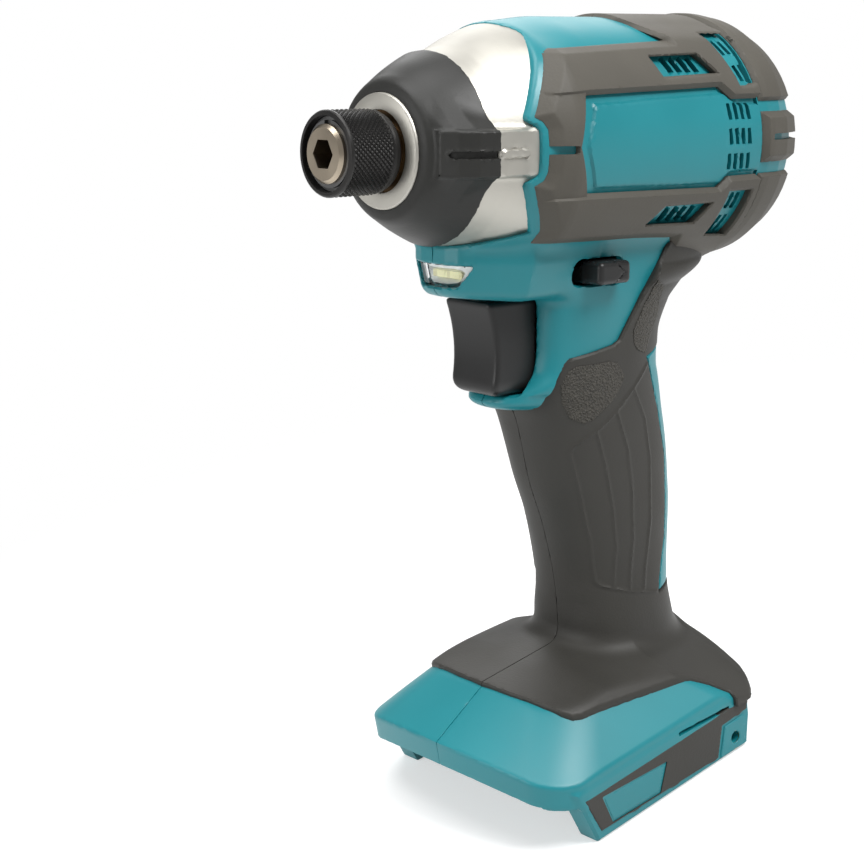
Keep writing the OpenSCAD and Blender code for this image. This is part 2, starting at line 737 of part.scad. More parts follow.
module hammer() {
  rear = hammer_front_x - hammer_len;
  color(dark_steel) stood() difference() {
    union() {
      turned([[spindle_r + run_fit, rear], [spring_r - 2.4, rear], [spring_r - 2.4, rear + 12],
        [spring_r + 2.4, rear + 12], [spring_r + 2.4, rear], [hammer_r, rear], [hammer_r, hammer_front_x - 1],
        [hammer_r - 1, hammer_front_x], [spindle_r + run_fit, hammer_front_x]]);
      intersection() {
        tube(hammer_front_x - 1, hammer_front_x + jaw_len, hammer_r - 0.8, hammer_r - 8.4);
        translate([hammer_front_x - 1, -5.5, axis_z - hammer_r]) cube([jaw_len + 2, 11, 2 * hammer_r]);
      }
    }
    for (s = [-1, 1]) translate([0, s * (spindle_r + 0.3), 0])
      tube(hammer_front_x - 5 - cam_ball_r - 0.1, hammer_front_x + 1, cam_ball_r + 0.1, 0);
  }
}

module hammer_spring() {
  color(steel) stood() coil(seat_x + seat_t + 0.1, hammer_front_x - hammer_len + 11.9, spring_r, spring_wire_r, spring_turns);
}

module spring_seat() {
  color(steel) stood() tube(seat_x, seat_x + seat_t, spring_r + 3, spindle_r + 0.1);
}

module cam_balls() {
  color(steel) stood() for (s = [-1, 1])
    translate([hammer_front_x - 5, s * (spindle_r + 0.3), axis_z]) sphere(r = cam_ball_r, $fn = 24);
}

module spindle() {
  color(steel) stood() difference() {
    union() {
      turned([[shaft_r + 2.2, carrier_x - bearing_w], [spindle_hub_r, carrier_x - bearing_w], [spindle_hub_r, carrier_x],
        [planet_orbit + 4.4, carrier_x], [planet_orbit + 4.4, gear_x - gap], [shaft_r + 2.2, gear_x - gap]]);
      turned([[0, carrier_front_x], [planet_orbit + 4.4, carrier_front_x], [planet_orbit + 4.4, spindle_shoulder_x],
        [spindle_r, spindle_shoulder_x], [spindle_r, lug_x - 0.8], [4, lug_x - 0.8], [4, lug_x + 5.6], [0, lug_x + 5.6]]);
      intersection() {
        tube(carrier_x, spindle_shoulder_x, planet_orbit + 4.4, shaft_r + 4);
        translate([carrier_x, -3.4, axis_z - 40]) cube([spindle_shoulder_x - carrier_x, 6.8, 80]);
      }
    }
    for (s = [-1, 1]) translate([0, s * planet_orbit, 0]) tube(carrier_x - 1, spindle_shoulder_x + 1, planet_pin_r, 0);
    for (s = [-1, 1]) translate([hammer_front_x - 5, s * (spindle_r + 0.3), axis_z]) sphere(r = cam_ball_r + 0.1, $fn = 24);
    tube(carrier_x, carrier_front_x - gap, gear_module * sun_teeth / 2 + 1.4, 0);
  }
}

module planet_pins() {
  color(steel) stood() for (s = [-1, 1]) translate([0, s * planet_orbit, 0])
    tube(carrier_x + 0.2, spindle_shoulder_x - 0.2, planet_pin_r - 0.02, 0);
}

function involute(a) = tan(a) * 180 / PI - a;

// Outline of a spur gear with a tooth on the +X axis; slack narrows each tooth at the pitch circle
function gear_outline(teeth, slack, tip, root) = let (pitch_r = gear_module * teeth / 2, base_r = pitch_r * cos(pressure_angle),
  tip_r = pitch_r + tip * gear_module, root_r = pitch_r - root * gear_module,
  half = 90 / teeth + involute(pressure_angle) - slack / pitch_r * 90 / PI,
  radii = [for (t = [0:2]) let (r0 = max(base_r, root_r)) r0 + (tip_r - r0) * t / 2],
  flank = [for (r = radii) [r, half - involute(acos(min(1, base_r / r)))]],
  side = root_r < base_r ? concat([[root_r, half]], flank) : flank)
  [for (i = [0:teeth - 1]) let (mid = 360 * i / teeth)
    for (p = concat([for (q = side) [q[0], mid - q[1]]], [for (k = [len(side) - 1:-1:0]) [side[k][0], mid + side[k][1]]]))
      [p[0] * cos(p[1]), p[0] * sin(p[1])]];

module planet_gear(s) {
  color(dark_steel) stood() translate([0, s * planet_orbit, 0]) difference() {
    along(gear_x) rotate([0, 0, 90 + 180 / planet_teeth]) linear_extrude(gear_w)
      polygon(gear_outline(planet_teeth, backlash, addendum, dedendum));
    tube(gear_x - 1, gear_x + gear_w + 1, planet_pin_r + run_fit, 0);
  }
}

module planet_gear_1() {
  planet_gear(1);
}

module planet_gear_2() {
  planet_gear(-1);
}

module ring_gear() {
  color(steel) stood() difference() {
    tube(gear_x - 0.2, gear_x + gear_w + 0.2, ring_r, 0);
    along(gear_x - 1) rotate([0, 0, 90 + 180 / ring_teeth]) linear_extrude(gear_w + 2)
      polygon(gear_outline(ring_teeth, -backlash, dedendum, addendum));
  }
}

module gear_case() {
  front = case_rear_x - 0.1;
  color(black) stood() turned([[ring_r + 0.05, front], [case_r, front], [case_r, gear_x - 3], [case_r - 7.5, gear_case_rear_x + 3],
    [front_bearing_r + 2.2, gear_case_rear_x + 3], [front_bearing_r + 2.2, gear_case_rear_x],
    [front_bearing_r + 0.05, gear_case_rear_x], [front_bearing_r + 0.05, gear_case_rear_x + bearing_w - 0.5],
    [shaft_r + 1.2, gear_case_rear_x + bearing_w - 0.5], [shaft_r + 1.2, carrier_x - bearing_w - gap],
    [spindle_bearing_r + 0.05, carrier_x - bearing_w - gap], [spindle_bearing_r + 0.05, carrier_x - 0.1],
    [planet_orbit + 5, carrier_x - 0.1], [planet_orbit + 5, gear_x - 0.25], [ring_r + 0.05, gear_x - 0.25]]);
}

module spindle_bearing() {
  color(steel) stood() tube(carrier_x - bearing_w, carrier_x - 0.15, spindle_bearing_r, spindle_hub_r + run_fit);
}

module motor_front_bearing() {
  color(steel) stood() tube(gear_case_rear_x, gear_case_rear_x + bearing_w - 0.6, front_bearing_r, shaft_r + run_fit);
}

module motor_rear_bearing() {
  color(steel) stood() tube(rear_bearing_x, rear_bearing_x + bearing_w, 8, shaft_r + run_fit);
}

module yoke() {
  color(dark_steel) stood() tube(yoke_front_x - yoke_len, yoke_front_x, yoke_r, yoke_r - yoke_wall);
}

module magnets() {
  color(black) stood() for (a = [0:90:270]) difference() {
    tube(yoke_front_x - yoke_len + 1, yoke_front_x - 1, yoke_r - yoke_wall - 0.05, yoke_r - yoke_wall - magnet_t);
    along() rotate([0, 0, a]) translate([0, 0, -big / 2]) cube([big / 4, big / 4, big]);
    along() rotate([0, 0, a + 90]) translate([0, 0, -big / 2]) cube([big / 4, big / 4, big]);
    along() rotate([0, 0, a + 180]) translate([0, 0, -big / 2]) cube([big / 4, big / 4, big]);
    along() rotate([0, 0, a + 270]) translate([0, -1, -big / 2]) cube([big / 4, 2, big]);
    along() rotate([0, 0, a + 270]) translate([-1, -big / 4, -big / 2]) cube([2, big / 2, big]);
  }
}

module armature_core() {
  slots = 12;
  color(dark_steel) stood() difference() {
    tube(core_front_x - core_len, core_front_x, core_r, shaft_r + 0.02);
    for (i = [0:slots - 1]) along(core_front_x - core_len - 1) rotate([0, 0, 360 * i / slots])
      translate([core_r - 6, -1.1, 0]) cube([8, 2.2, core_len + 2]);
  }
}

module motor_shaft() {
  color(steel) stood() tube(rear_bearing_x - 0.6, gear_x - 0.6, shaft_r, 0);
}

module motor_pinion() {
  color(steel) stood() difference() {
    along(gear_x - 0.5) rotate([0, 0, 90]) linear_extrude(gear_w + 0.4)
      polygon(gear_outline(sun_teeth, backlash, addendum, dedendum));
    tube(gear_x - 1, gear_x - 0.55, shaft_r, 0);
  }
}

module commutator() {
  bars = 12;
  color(copper) stood() difference() {
    tube(commutator_x - commutator_len, commutator_x, commutator_r, shaft_r + 0.02);
    for (i = [0:bars - 1]) along(commutator_x - commutator_len - 1) rotate([0, 0, 360 * i / bars])
      translate([commutator_r - 1.2, -0.25, 0]) cube([3, 0.5, commutator_len + 2]);
  }
}

module cooling_fan() {
  front = gear_case_rear_x - 0.8;
  color(black) stood() {
    tube(front - 4.4, front, 5, shaft_r + 0.02);
    tube(front - 1.2, front, fan_r, 4.8);
    for (i = [0:fan_blades - 1]) along(front - 4.4) rotate([0, 0, 360 * i / fan_blades])
      translate([12, -0.5, 0]) cube([fan_r - 13, 1, 3.4]);
  }
}

module brush_holder() {
  color(black) stood() difference() {
    union() {
      tube(brush_plate_x - brush_plate_t, brush_plate_x, housing_r - wall - gap, commutator_r + 1.4);
      for (a = [0:90:270]) along(brush_plate_x - brush_plate_t - 5) rotate([0, 0, a + 45])
        translate([commutator_r + 1.4, -4.2, 0]) cube([10, 8.4, 5.4]);
    }
    for (a = [0:90:270]) along(brush_plate_x - brush_plate_t - 5) rotate([0, 0, a + 45])
      translate([commutator_r, -3, 0.8]) cube([20, 6, 3.4]);
    for (y = [-1, 1]) translate([0, y * rear_screw_y, 0]) tube(brush_plate_x - 9, brush_plate_x + 1, screw_r + 0.15, 0);
  }
}

module carbon_brushes() {
  color("#3a3a3c") stood() for (a = [0:90:270]) along(brush_plate_x - brush_plate_t - 5) rotate([0, 0, a + 45])
    translate([commutator_r + 0.1, -2.9, 0.9]) cube([9, 5.8, 3.2]);
}

module switch_body() {
  color(black) stood() difference() {
    translate([-20, -9.4, trigger_low_z]) cube([switch_front_x + 20, 18.8, trigger_top_z - trigger_low_z]);
    translate([switch_front_x - 16, 0, 123]) rotate([0, 90, 0]) cylinder(r = 5, h = 20, $fn = round_fn);
  }
}

function trigger_face(n = 12) = [for (i = [0:n]) let (t = i / n)
  [trigger_front_x - trigger_hollow * (1 - pow(2 * t - 1, 2)), trigger_low_z + (trigger_top_z - trigger_low_z) * t]];

module trigger() {
  corner = 3;
  color(black) stood() {
    intersection() {
      side_prism(concat(trigger_face(), [[trigger_back_x, trigger_top_z], [trigger_back_x, trigger_low_z]]),
        -trigger_half, trigger_half);
      translate([0, 0, 100]) linear_extrude(50) polygon([[trigger_back_x, -trigger_half], [trigger_front_x - corner - 1, -trigger_half],
        [trigger_front_x - 1.2, -trigger_half + 1.2], [trigger_front_x + 0.1, -trigger_half + corner],
        [trigger_front_x + 0.1, trigger_half - corner], [trigger_front_x - 1.2, trigger_half - 1.2],
        [trigger_front_x - corner - 1, trigger_half], [trigger_back_x, trigger_half]]);
    }
    translate([switch_front_x - 7, 0, 123]) rotate([0, 90, 0])
      cylinder(r = 2.2, h = trigger_back_x - switch_front_x + 8, $fn = round_fn);
  }
}

module trigger_spring() {
  color(steel) stood() translate([0, 0, 123 - axis_z]) coil(switch_front_x - 15.8, trigger_back_x - 0.1, 3.5, 0.5, 7);
}

module reverse_lever() {
  color(black) stood() difference() {
    union() {
      translate([lever_x - lever_w / 2, -lever_half, lever_z]) cube([lever_w, 2 * lever_half, lever_t]);
      for (s = [-1, 1]) side_prism([[lever_x - lever_w / 2, lever_z], [lever_x + lever_w / 2, lever_z],
        [lever_x + lever_w / 2, lever_z + lever_end_t - 1], [lever_x + lever_w / 2 - 1, lever_z + lever_end_t],
        [lever_x - lever_w / 2 + 1, lever_z + lever_end_t], [lever_x - lever_w / 2, lever_z + lever_end_t - 1]],
        s > 0 ? 20 : -lever_half, s > 0 ? lever_half : -20);
      translate([lever_pivot_x, -4, lever_z]) cube([lever_x - lever_pivot_x, 8, lever_t]);
      translate([lever_pivot_x, 0, lever_z]) cylinder(r = 4, h = lever_t, $fn = round_fn);
    }
    translate([lever_pivot_x, 0, lever_z - 1]) cylinder(r = 2 + run_fit, h = 10, $fn = round_fn);
  }
}

module lever_pin() {
  color(steel) stood() translate([lever_pivot_x, 0, trigger_top_z]) cylinder(r = 2, h = lever_z + lever_t - trigger_top_z, $fn = round_fn);
}

module lens_form(grow = 0) {
  hull() {
    translate([33.4, 0, 144.2]) cube([4.6 + grow, 23 + 2 * grow, 1 + 2 * grow], center = true);
    translate([33.4, 0, 139.4]) cube([4.4 + grow, 19 + 2 * grow, 1 + 2 * grow], center = true);
  }
}

module led_lens() {
  color("#dfe6e8") stood() intersection() {
    lens_form();
    lamp_nose(-0.1);
  }
}

module led_board() {
  color("#e9e2a0") stood() translate([29.6, -5, 139.1]) cube([1.2, 10, 5]);
}

// Battery terminal under the foot's slab
terminal_back = rail_back;

module terminal_block() {
  color("#d8b62c") difference() {
    translate([terminal_back, -17, 5]) cube([20, 34, bay_h - 5]);
    for (y = [-11, 0, 11]) translate([terminal_back + 5, y - 3, 4]) cube([16, 6, 8]);
  }
}

module terminal_blades() {
  color(copper) for (y = [-11, 0, 11]) translate([terminal_back + 5, y - 0.4, 5.4]) cube([13, 0.8, 6.5]);
}

lead_x = terminal_back + 14;
lead_r = 1.5;
switch_drop = axis_z - trigger_low_z;
lead_top_z = head_z + tan(lean) * (lead_x - lead_r - head_x - sin(lean) * switch_drop) - cos(lean) * switch_drop - 0.1;

module battery_leads() {
  color("#202020") for (y = [-5, 5]) translate([lead_x, y, bay_h]) cylinder(r = lead_r, h = lead_top_z - bay_h, $fn = round_fn);
}

module nut_form(side, grow = 0) {
  y = side * (foot_half - hook_depth / 2 + 0.2);
  translate([hook_x, y, hook_z]) rotate([90, 0, 0]) cylinder(r = 3.4 + grow, h = hook_depth + 2 * grow, center = true, $fn = round_fn);
}

module hook_nuts() {
  color("#b9a24a") for (side = [-1, 1]) difference() {
    nut_form(side);
    translate([hook_x, 0, hook_z]) rotate([90, 0, 0]) cylinder(r = hook_r, h = 4 * foot_half, center = true, $fn = round_fn);
  }
}

module screw(length) {
  cylinder(r = screw_r, h = length, $fn = round_fn);
  translate([0, 0, length]) cylinder(r = screw_head_r, h = 2.2, $fn = round_fn);
}

module housing_screws() {
  color(dark_steel) at_screws() translate([0, 7.5, 0]) rotate([90, 0, 0]) screw(7.5 - screw_seat_y);
}

module rear_cover_screws() {
  reach = brush_plate_x - rear_x - 2.4;
  color(dark_steel) stood() for (y = [-1, 1]) translate([brush_plate_x, y * rear_screw_y, axis_z]) rotate([0, -90, 0]) screw(reach);
}

housing_left();
housing_right();
rear_cover();
grip_left();
grip_right();
head_pad_left();
head_pad_right();
rear_bumper_top();
rear_bumper_bottom();
rear_bumper_left();
rear_bumper_right();
foot_pad_left();
foot_pad_right();
hammer_case();
nose_bumper();
bit_sleeve();
sleeve_spring();
sleeve_washer();
retaining_ring();
bit_ball();
anvil();
anvil_bush();
thrust_washer();
hammer();
hammer_spring();
spring_seat();
cam_balls();
spindle();
planet_pins();
planet_gear_1();
planet_gear_2();
ring_gear();
gear_case();
spindle_bearing();
motor_front_bearing();
motor_rear_bearing();
yoke();
magnets();
armature_core();
motor_shaft();
motor_pinion();
commutator();
cooling_fan();
brush_holder();
carbon_brushes();
switch_body();
trigger();
trigger_spring();
reverse_lever();
lever_pin();
led_lens();
led_board();
terminal_block();
terminal_blades();
battery_leads();
hook_nuts();
housing_screws();
rear_cover_screws();
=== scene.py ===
import json
import math

import bmesh
import bpy
import numpy as np
from mathutils import Matrix, Vector


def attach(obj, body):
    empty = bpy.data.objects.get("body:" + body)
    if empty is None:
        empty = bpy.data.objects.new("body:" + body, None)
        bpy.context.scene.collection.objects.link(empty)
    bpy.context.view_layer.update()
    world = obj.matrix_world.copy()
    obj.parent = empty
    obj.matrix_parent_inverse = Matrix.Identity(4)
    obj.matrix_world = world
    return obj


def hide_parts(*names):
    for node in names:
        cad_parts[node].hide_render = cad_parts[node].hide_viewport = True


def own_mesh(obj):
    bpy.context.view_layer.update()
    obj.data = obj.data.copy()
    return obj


bl_info = {
    "name": "Impact Driver",
    "version": (1, 0, 0),
    "blender": (4, 5, 0),
    "location": "View3D > Sidebar > Impact Driver",
    "description": "Dresses the impact driver's solids with moulded shells, soft grips, knurling and finishes",
    "category": "Object",
}

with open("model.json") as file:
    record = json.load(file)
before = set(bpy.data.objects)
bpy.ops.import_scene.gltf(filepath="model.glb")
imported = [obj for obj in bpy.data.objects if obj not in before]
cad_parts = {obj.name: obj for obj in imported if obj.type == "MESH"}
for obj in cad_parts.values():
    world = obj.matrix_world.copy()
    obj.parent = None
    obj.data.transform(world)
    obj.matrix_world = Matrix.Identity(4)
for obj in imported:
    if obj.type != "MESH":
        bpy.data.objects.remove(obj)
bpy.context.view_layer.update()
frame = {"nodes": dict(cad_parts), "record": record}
NODES = frame["nodes"]

# The drive axis leans nose up by this angle about the head's centre, in mm on the plane of the battery rails
LEAN = math.radians(12)
COS, SIN = math.cos(LEAN), math.sin(LEAN)
HEAD_X, HEAD_Z = 1.0, 163.4
# Height of the axis that the tables count from before the tool is tipped, and a step above it that gives a run's slope
RISE, RISE_NEXT = 170.7, 170.9
PER_STEP = 25  # one over the step, squared
FAR = 1e9
THROUGH = 90  # reach of a cut that goes right through
CORE = -9  # a radius past the axis, where a turned profile closes


# Distances, in mm: a point's distance to a form is negative inside it

def tipped(p):
    """Coordinates on the tool's own scale: along the drive axis, across, and up from it."""
    x, z = p[:, 0] - HEAD_X, p[:, 2] - HEAD_Z
    return COS * x + SIN * z, p[:, 1], COS * z - SIN * x


def soft_min(a, b, k):
    h = np.maximum(k - np.abs(a - b), 0.0) / k
    return np.minimum(a, b) - h * h * k * 0.25


def soft_max(a, b, k):
    return -soft_min(-a, -b, k)


def both(*forms):
    """Where all of the forms are."""
    return np.maximum.reduce(forms)


def either(*forms):
    """Where any of the forms is."""
    return np.minimum.reduce(forms)


def less(form, cut):
    """A form with another one cut out of it."""
    return np.maximum(form, -cut)


def bevel_max(a, b, c):
    """Both forms at once, with a flat bevel where they meet."""
    return np.maximum(np.maximum(a, b), (a + b + c) * 0.70710678)


def outline(u, v, points):
    """Distance to a closed outline in a plane."""
    pts = np.asarray(points, float)
    best = np.full(u.shape, FAR)
    inside = np.zeros(u.shape, bool)
    for (ax, ay), (bx, by) in zip(pts, np.roll(pts, -1, 0)):
        ex, ey = bx - ax, by - ay
        wx, wy = u - ax, v - ay
        t = np.clip((wx * ex + wy * ey) / max(ex * ex + ey * ey, 1e-12), 0.0, 1.0)
        best = np.minimum(best, (wx - ex * t) ** 2 + (wy - ey * t) ** 2)
        if ay != by:
            inside ^= ((ay > v) != (by > v)) & (u < ax + ex * (v - ay) / (by - ay))
    return np.where(inside, -1.0, 1.0) * np.sqrt(best)


def box(u, v, w, lo, hi, r=0.0):
    """Distance to a box with rounded edges."""
    q = [np.abs(c - (a + b) / 2) - (b - a) / 2 + r for c, a, b in zip((u, v, w), lo, hi)]
    out = np.sqrt(sum(np.maximum(c, 0.0) ** 2 for c in q))
    return out + np.minimum(np.maximum(np.maximum(q[0], q[1]), q[2]), 0.0) - r


def oval(u, v, front, back, half, square, rear=2.1):
    """Distance to an oval, squared off in front, whose sizes may change from point to point."""
    a, b = (front - back) / 2, half
    square = np.where(u > (front + back) / 2, square, np.minimum(square, rear))
    x, y = np.abs(u - (front + back) / 2) / a + 1e-6, np.abs(v) / b + 1e-6
    s = x ** square + y ** square
    q = s ** (1 / square)
    gx, gy = q / s * x ** (square - 1) / a, q / s * y ** (square - 1) / b
    return (q - 1) / np.maximum(np.hypot(gx, gy), 1e-4)


def stations(z, table):
    """Sizes between the stations of a run, on smooth curves through them."""
    t = np.asarray(table, float)
    zs, n = t[:, 0], len(t)
    i = np.clip(np.searchsorted(zs, z) - 1, 0, n - 2)
    h = np.diff(zs)
    u = np.clip((z - zs[i]) / h[i], 0.0, 1.0)
    cols = []
    for c in range(1, t.shape[1]):
        y = t[:, c]
        d = np.diff(y) / h
        m = np.zeros(n)
        both = d[:-1] * d[1:] > 0
        m[1:-1] = np.where(both, 2 * d[:-1] * d[1:] / np.where(both, d[:-1] + d[1:], 1), 0)
        m[0], m[-1] = d[0], d[-1]
        cols.append((2 * u ** 3 - 3 * u ** 2 + 1) * y[i] + (u ** 3 - 2 * u ** 2 + u) * h[i] * m[i]
                    + (3 * u ** 2 - 2 * u ** 3) * y[i + 1] + (u ** 3 - u ** 2) * h[i] * m[i + 1])
    return cols


# Dual contouring: halvings of the coarsest grid, half width of the band that is kept, step of the slope and overshoot of a
# point, all three in cells, and the smallest part of the largest slope that counts
LEVELS, BAND, SLOPE_STEP, OVERSHOOT, PINCH = 4, 1.4, 0.08, 0.2, 0.1
CORNERS = np.array([[i, j, k] for i in (0, 1) for j in (0, 1) for k in (0, 1)])
PAIRS = ((0, 0), (0, 1), (0, 2), (1, 1), (1, 2), (2, 2))


def contour(field, lo, hi, cell):
    """Skin of a form by dual contouring on a narrow band: points, in mm, and four-sided faces."""
    lo, hi = np.asarray(lo, float), np.asarray(hi, float)
    level = LEVELS
    size = cell * 2 ** level
    n = np.ceil((hi - lo) / size).astype(int)
    grid = np.stack(np.meshgrid(*[np.arange(k) for k in n], indexing="ij"), -1).reshape(-1, 3)
    while True:
        d = sample(field, lo + (grid + 0.5) * size)
        grid = grid[np.abs(d) < size * BAND + 0.02]
        if level == 0:
            break
        level -= 1
        size /= 2
        grid = (grid[:, None, :] * 2 + CORNERS).reshape(-1, 3)
    dims = np.ceil((hi - lo) / cell).astype(int) + 3
    span = np.array([dims[1] * dims[2], dims[2], 1], dtype=np.int64)
    keys, back = np.unique(((grid[:, None, :] + CORNERS) @ span).ravel(), return_inverse=True)
    at = np.stack([keys // span[0], keys // span[1] % dims[1], keys % dims[2]], -1)
    value = sample(field, lo + at * cell)
    value[value == 0] = 1e-7
    own = back.reshape(-1, 8)
    inside = value[own] < 0
    live = inside.any(1) & ~inside.all(1)
    grid, own = grid[live], own[live]
    cell_key = grid @ span
    order = np.argsort(cell_key)
    grid, own, cell_key = grid[order], own[order], cell_key[order]
    # Where the skin crosses the edges of the grid
    starts, axes, hits = [], [], []
    for axis in range(3):
        far = np.searchsorted(keys, keys + span[axis])
        far[far == len(keys)] = 0
        real = keys[far] == keys + span[axis]
        cut = real & ((value < 0) != (value[far] < 0))
        i = np.nonzero(cut)[0]
        t = value[i] / (value[i] - value[far[i]])
        p = lo + at[i] * cell
        p[:, axis] += t * cell
        starts.append(i)
        axes.append(np.full(len(i), axis))
        hits.append(p)
    start, axis, hit = np.concatenate(starts), np.concatenate(axes), np.concatenate(hits)
    slope = gradient(field, hit, cell * SLOPE_STEP)
    # The best point of each cell for the planes that cross its edges
    ata, atb = np.zeros((len(grid), 6)), np.zeros((len(grid), 3))
    mean, count = np.zeros((len(grid), 3)), np.zeros(len(grid))
    faces, keep = np.zeros((len(start), 4), np.int64), np.ones(len(start), bool)
    dots = (slope * hit).sum(1)
    for k, (a, b) in enumerate(((0, 0), (1, 0), (1, 1), (0, 1))):
        other = np.array([[1, 2], [2, 0], [0, 1]])[axis]
        near = at[start].copy()
        near[np.arange(len(start)), other[:, 0]] -= 1 - a
        near[np.arange(len(start)), other[:, 1]] -= 1 - b
        kk = near @ span
        c = np.searchsorted(cell_key, kk)
        c[c == len(cell_key)] = 0
        ok = cell_key[c] == kk
        keep &= ok
        faces[:, k] = c
        w = np.nonzero(ok)[0]
        np.add.at(ata, c[w], np.stack([slope[w, i] * slope[w, j] for i, j in PAIRS], -1))
        np.add.at(atb, c[w], slope[w] * dots[w, None])
        np.add.at(mean, c[w], hit[w])
        np.add.at(count, c[w], 1)
    mean /= np.maximum(count, 1)[:, None]
    m = ata[:, [0, 1, 2, 1, 3, 4, 2, 4, 5]].reshape(-1, 3, 3)
    rhs = atb - np.einsum("nij,nj->ni", m, mean)
    w, v = np.linalg.eigh(m)
    inv = np.where(w > PINCH * w[:, 2:3], 1 / np.maximum(w, 1e-9), 0.0)
    move = np.einsum("nij,nj,nkj,nk->ni", v, inv, v, rhs)
    corner = lo + grid * cell
    points = np.clip(mean + move, corner - OVERSHOOT * cell, corner + (1 + OVERSHOOT) * cell)
    flip = value[start] < 0
    faces[~flip] = faces[~flip][:, ::-1]
    return points, faces[keep]


def sample(field, p, chunk=300000):
    """A form's distances, a part of the points at a time."""
    return np.concatenate([field(p[i:i + chunk]) for i in range(0, len(p), chunk)]) if len(p) else np.zeros(0)


def gradient(field, p, e):
    """The direction in which a form's distance grows."""
    g = np.stack([sample(field, p + d) - sample(field, p - d) for d in np.eye(3) * e], -1)
    return g / np.maximum(np.linalg.norm(g, axis=1, keepdims=True), 1e-9)


# Forms of the moulded tool

RAD = 31.0  # of the head
SKIN = 1.1  # of the soft skins, and with a gap beside them
SKIN_GAP = SKIN + 0.3
HEAD_END, COVER_END = -46.85, -47.15
SKIRT = 38.3  # outer face of the foot's side walls
SEAM = 0.06  # half the gap between the two halves
# Stations of a run of ovals: height, front, back, half width and squareness
GRIP = [[28, 19.4, -15.2, 17, 2.8], [38.6, 18.2, -14.6, 16.3, 2.6], [45, 17.5, -16, 15.7, 2.4], [51.2, 17.3, -17.8, 15.3, 2.3],
        [65.4, 18.3, -21.2, 15.3, 2.3], [81.2, 20.9, -22.7, 15.6, 2.35], [90, 21.4, -22.4, 16.1, 2.45],
        [100, 22.1, -22.6, 16.6, 2.6], [112, 24, -26, 17.4, 3]]
NECK = [[90, 3.5, -39.9, 15.8, 2.4], [100, 6.3, -38.8, 16.5, 2.6], [105, 8.4, -37.6, 16.6, 2.6], [109.4, 9.6, -36.5, 16.8, 2.8],
        [113.5, 10, -35.4, 17.2, 3], [122, 9.8, -35, 18, 3.4], [131, 9.9, -38, 19.4, 3.6], [135.4, 13, -42.4, 20, 3.6],
        [141, 20, -52, 20.4, 3.6], [152, 22, -56, 20.3, 3.8]]
HOUSING_FRONT = [[21.6, 40], [20.7, 30.3], [19, 27.4], [19.2, 26.4], [23.3, 19.6], [26.4, 14.2], [29.4, 8], [29.3, 7.2],
                 [27.2, 5.9], [26.6, 4.8], [26.6, -4.4], [27, -5.6], [29.2, -7], [29.3, -7.8], [27, -13], [23.9, -19], [32.5, -22],
                 [37, -23.2], [60, -24], [60, -200], [-200, -200], [-200, 40]]
CONE = [[19, 29.4], [24.2, 27.7], [27.6, 26.3], [33, 23.9]]


def smooth_step(a, b, t):
    u = np.clip((t - a) / (b - a), 0.0, 1.0)
    return u * u * (3 - 2 * u)


def run(x, y, h, table, middle=-FAR):
    """Distance to a run of ovals, evened out where its front, or its back behind the middle, is steep."""
    front, back, half_width, square = stations(h + RISE, table)
    steep = stations(h + RISE_NEXT, table)
    steep = np.where(x > middle, steep[0] - front, steep[1] - back)
    return oval(x, y, front, back, half_width, square) / np.sqrt(1 + steep ** 2 * PER_STEP)


def handle(p):
    """The grip, upright below and tipped with the drive above."""
    x, y, h = tipped(p)
    low = oval(p[:, 0], y, *stations(p[:, 2], GRIP))
    high = run(x, y, h, NECK, -12)
    t = smooth_step(90, 104, p[:, 2])
    return low * (1 - t) + high * t


def crowned(p):
    """The foot's own coordinates: its top and its front bow out in the middle."""
    bow = 0.004 * p[:, 1] ** 2
    return np.stack([p[:, 0] + np.where(p[:, 0] > 20, bow, 0), p[:, 1], p[:, 2] + bow], -1)


def slab(p):
    """The foot's plan with round corners, its front and its sides chamfered."""
    q = crowned(p)
    y = np.abs(q[:, 1])
    u, v = np.abs(q[:, 0] - 25.6) - 30.9, y - 28.7
    plan = np.hypot(np.maximum(u, 0), np.maximum(v, 0)) + np.minimum(both(u, v), 0) - 9.5
    front = (q[:, 0] - 65.2) * 0.4167 + (q[:, 2] - 24.4) * 0.909
    side = (y - 37.4) * 0.559 + (q[:, 2] - 24.4) * 0.829
    return soft_max(plan, soft_max(front, side, 6.0), 0.7) / 1.1


def dome(p):
    """Height over the foot's top, which falls off to the sides and to the back."""
    x = p[:, 0]
    return p[:, 2] + np.interp(x, [-14, 30], [0.0102, 0.004]) * p[:, 1] ** 2 + np.interp(x, [-14, 10], [6.2, 0])


NOSE_PLAN = [[35.9, 0], [35.6, 4.4], [34.4, 7.8], [32, 10.9], [27, 15.4], [21, 20], [0, 20], [0, 0], [0, -9], [35.9, -9]]


def lamp_nose(x, y, h):
    """The chin under the hammer case, narrower at its foot."""
    half = np.abs(y) + 0.32 * np.maximum(-27 - h, 0)
    d = outline(x, half, NOSE_PLAN) * 0.93
    low = np.interp(x, [22, 33, 36], [-36.4, -35.6, -34.4])
    return soft_max(d, low - h, 2.6)


LIP = [[105, 18.4, -24, 12.2, 2.5], [107.4, 19.6, -24, 13.2, 2.5], [109, 18.7, -24, 13.8, 2.6], [110.4, 15.8, -24, 14.8, 3.4],
       [112.6, 13, -24, 15.4, 4], [115.6, 11, -24, 15.8, 4], [121, 9.8, -24, 16.2, 4], [134, 9.5, -24, 16.4, 4]]


def lip(x, y, h):
    """The channel round the trigger's back, which runs out below it as a ledge."""
    d = run(x, y, h, LIP)
    return both(soft_max(soft_max(d, -65.2 - h, 2.4), h + 38, 1.0), -outline(x, h, GRIP_OUTLINE) - 0.3)


def lens_window(x, y, h, grow=0.0):
    """The opening of the lamp, wider at its top."""
    up = h + 30.25
    d = soft_max((np.abs(y) - 8.35 - up * 0.745) * 0.8 - grow, np.abs(up) - 2.75 - grow, 0.9)
    return both(d, 27.5 - grow - x)


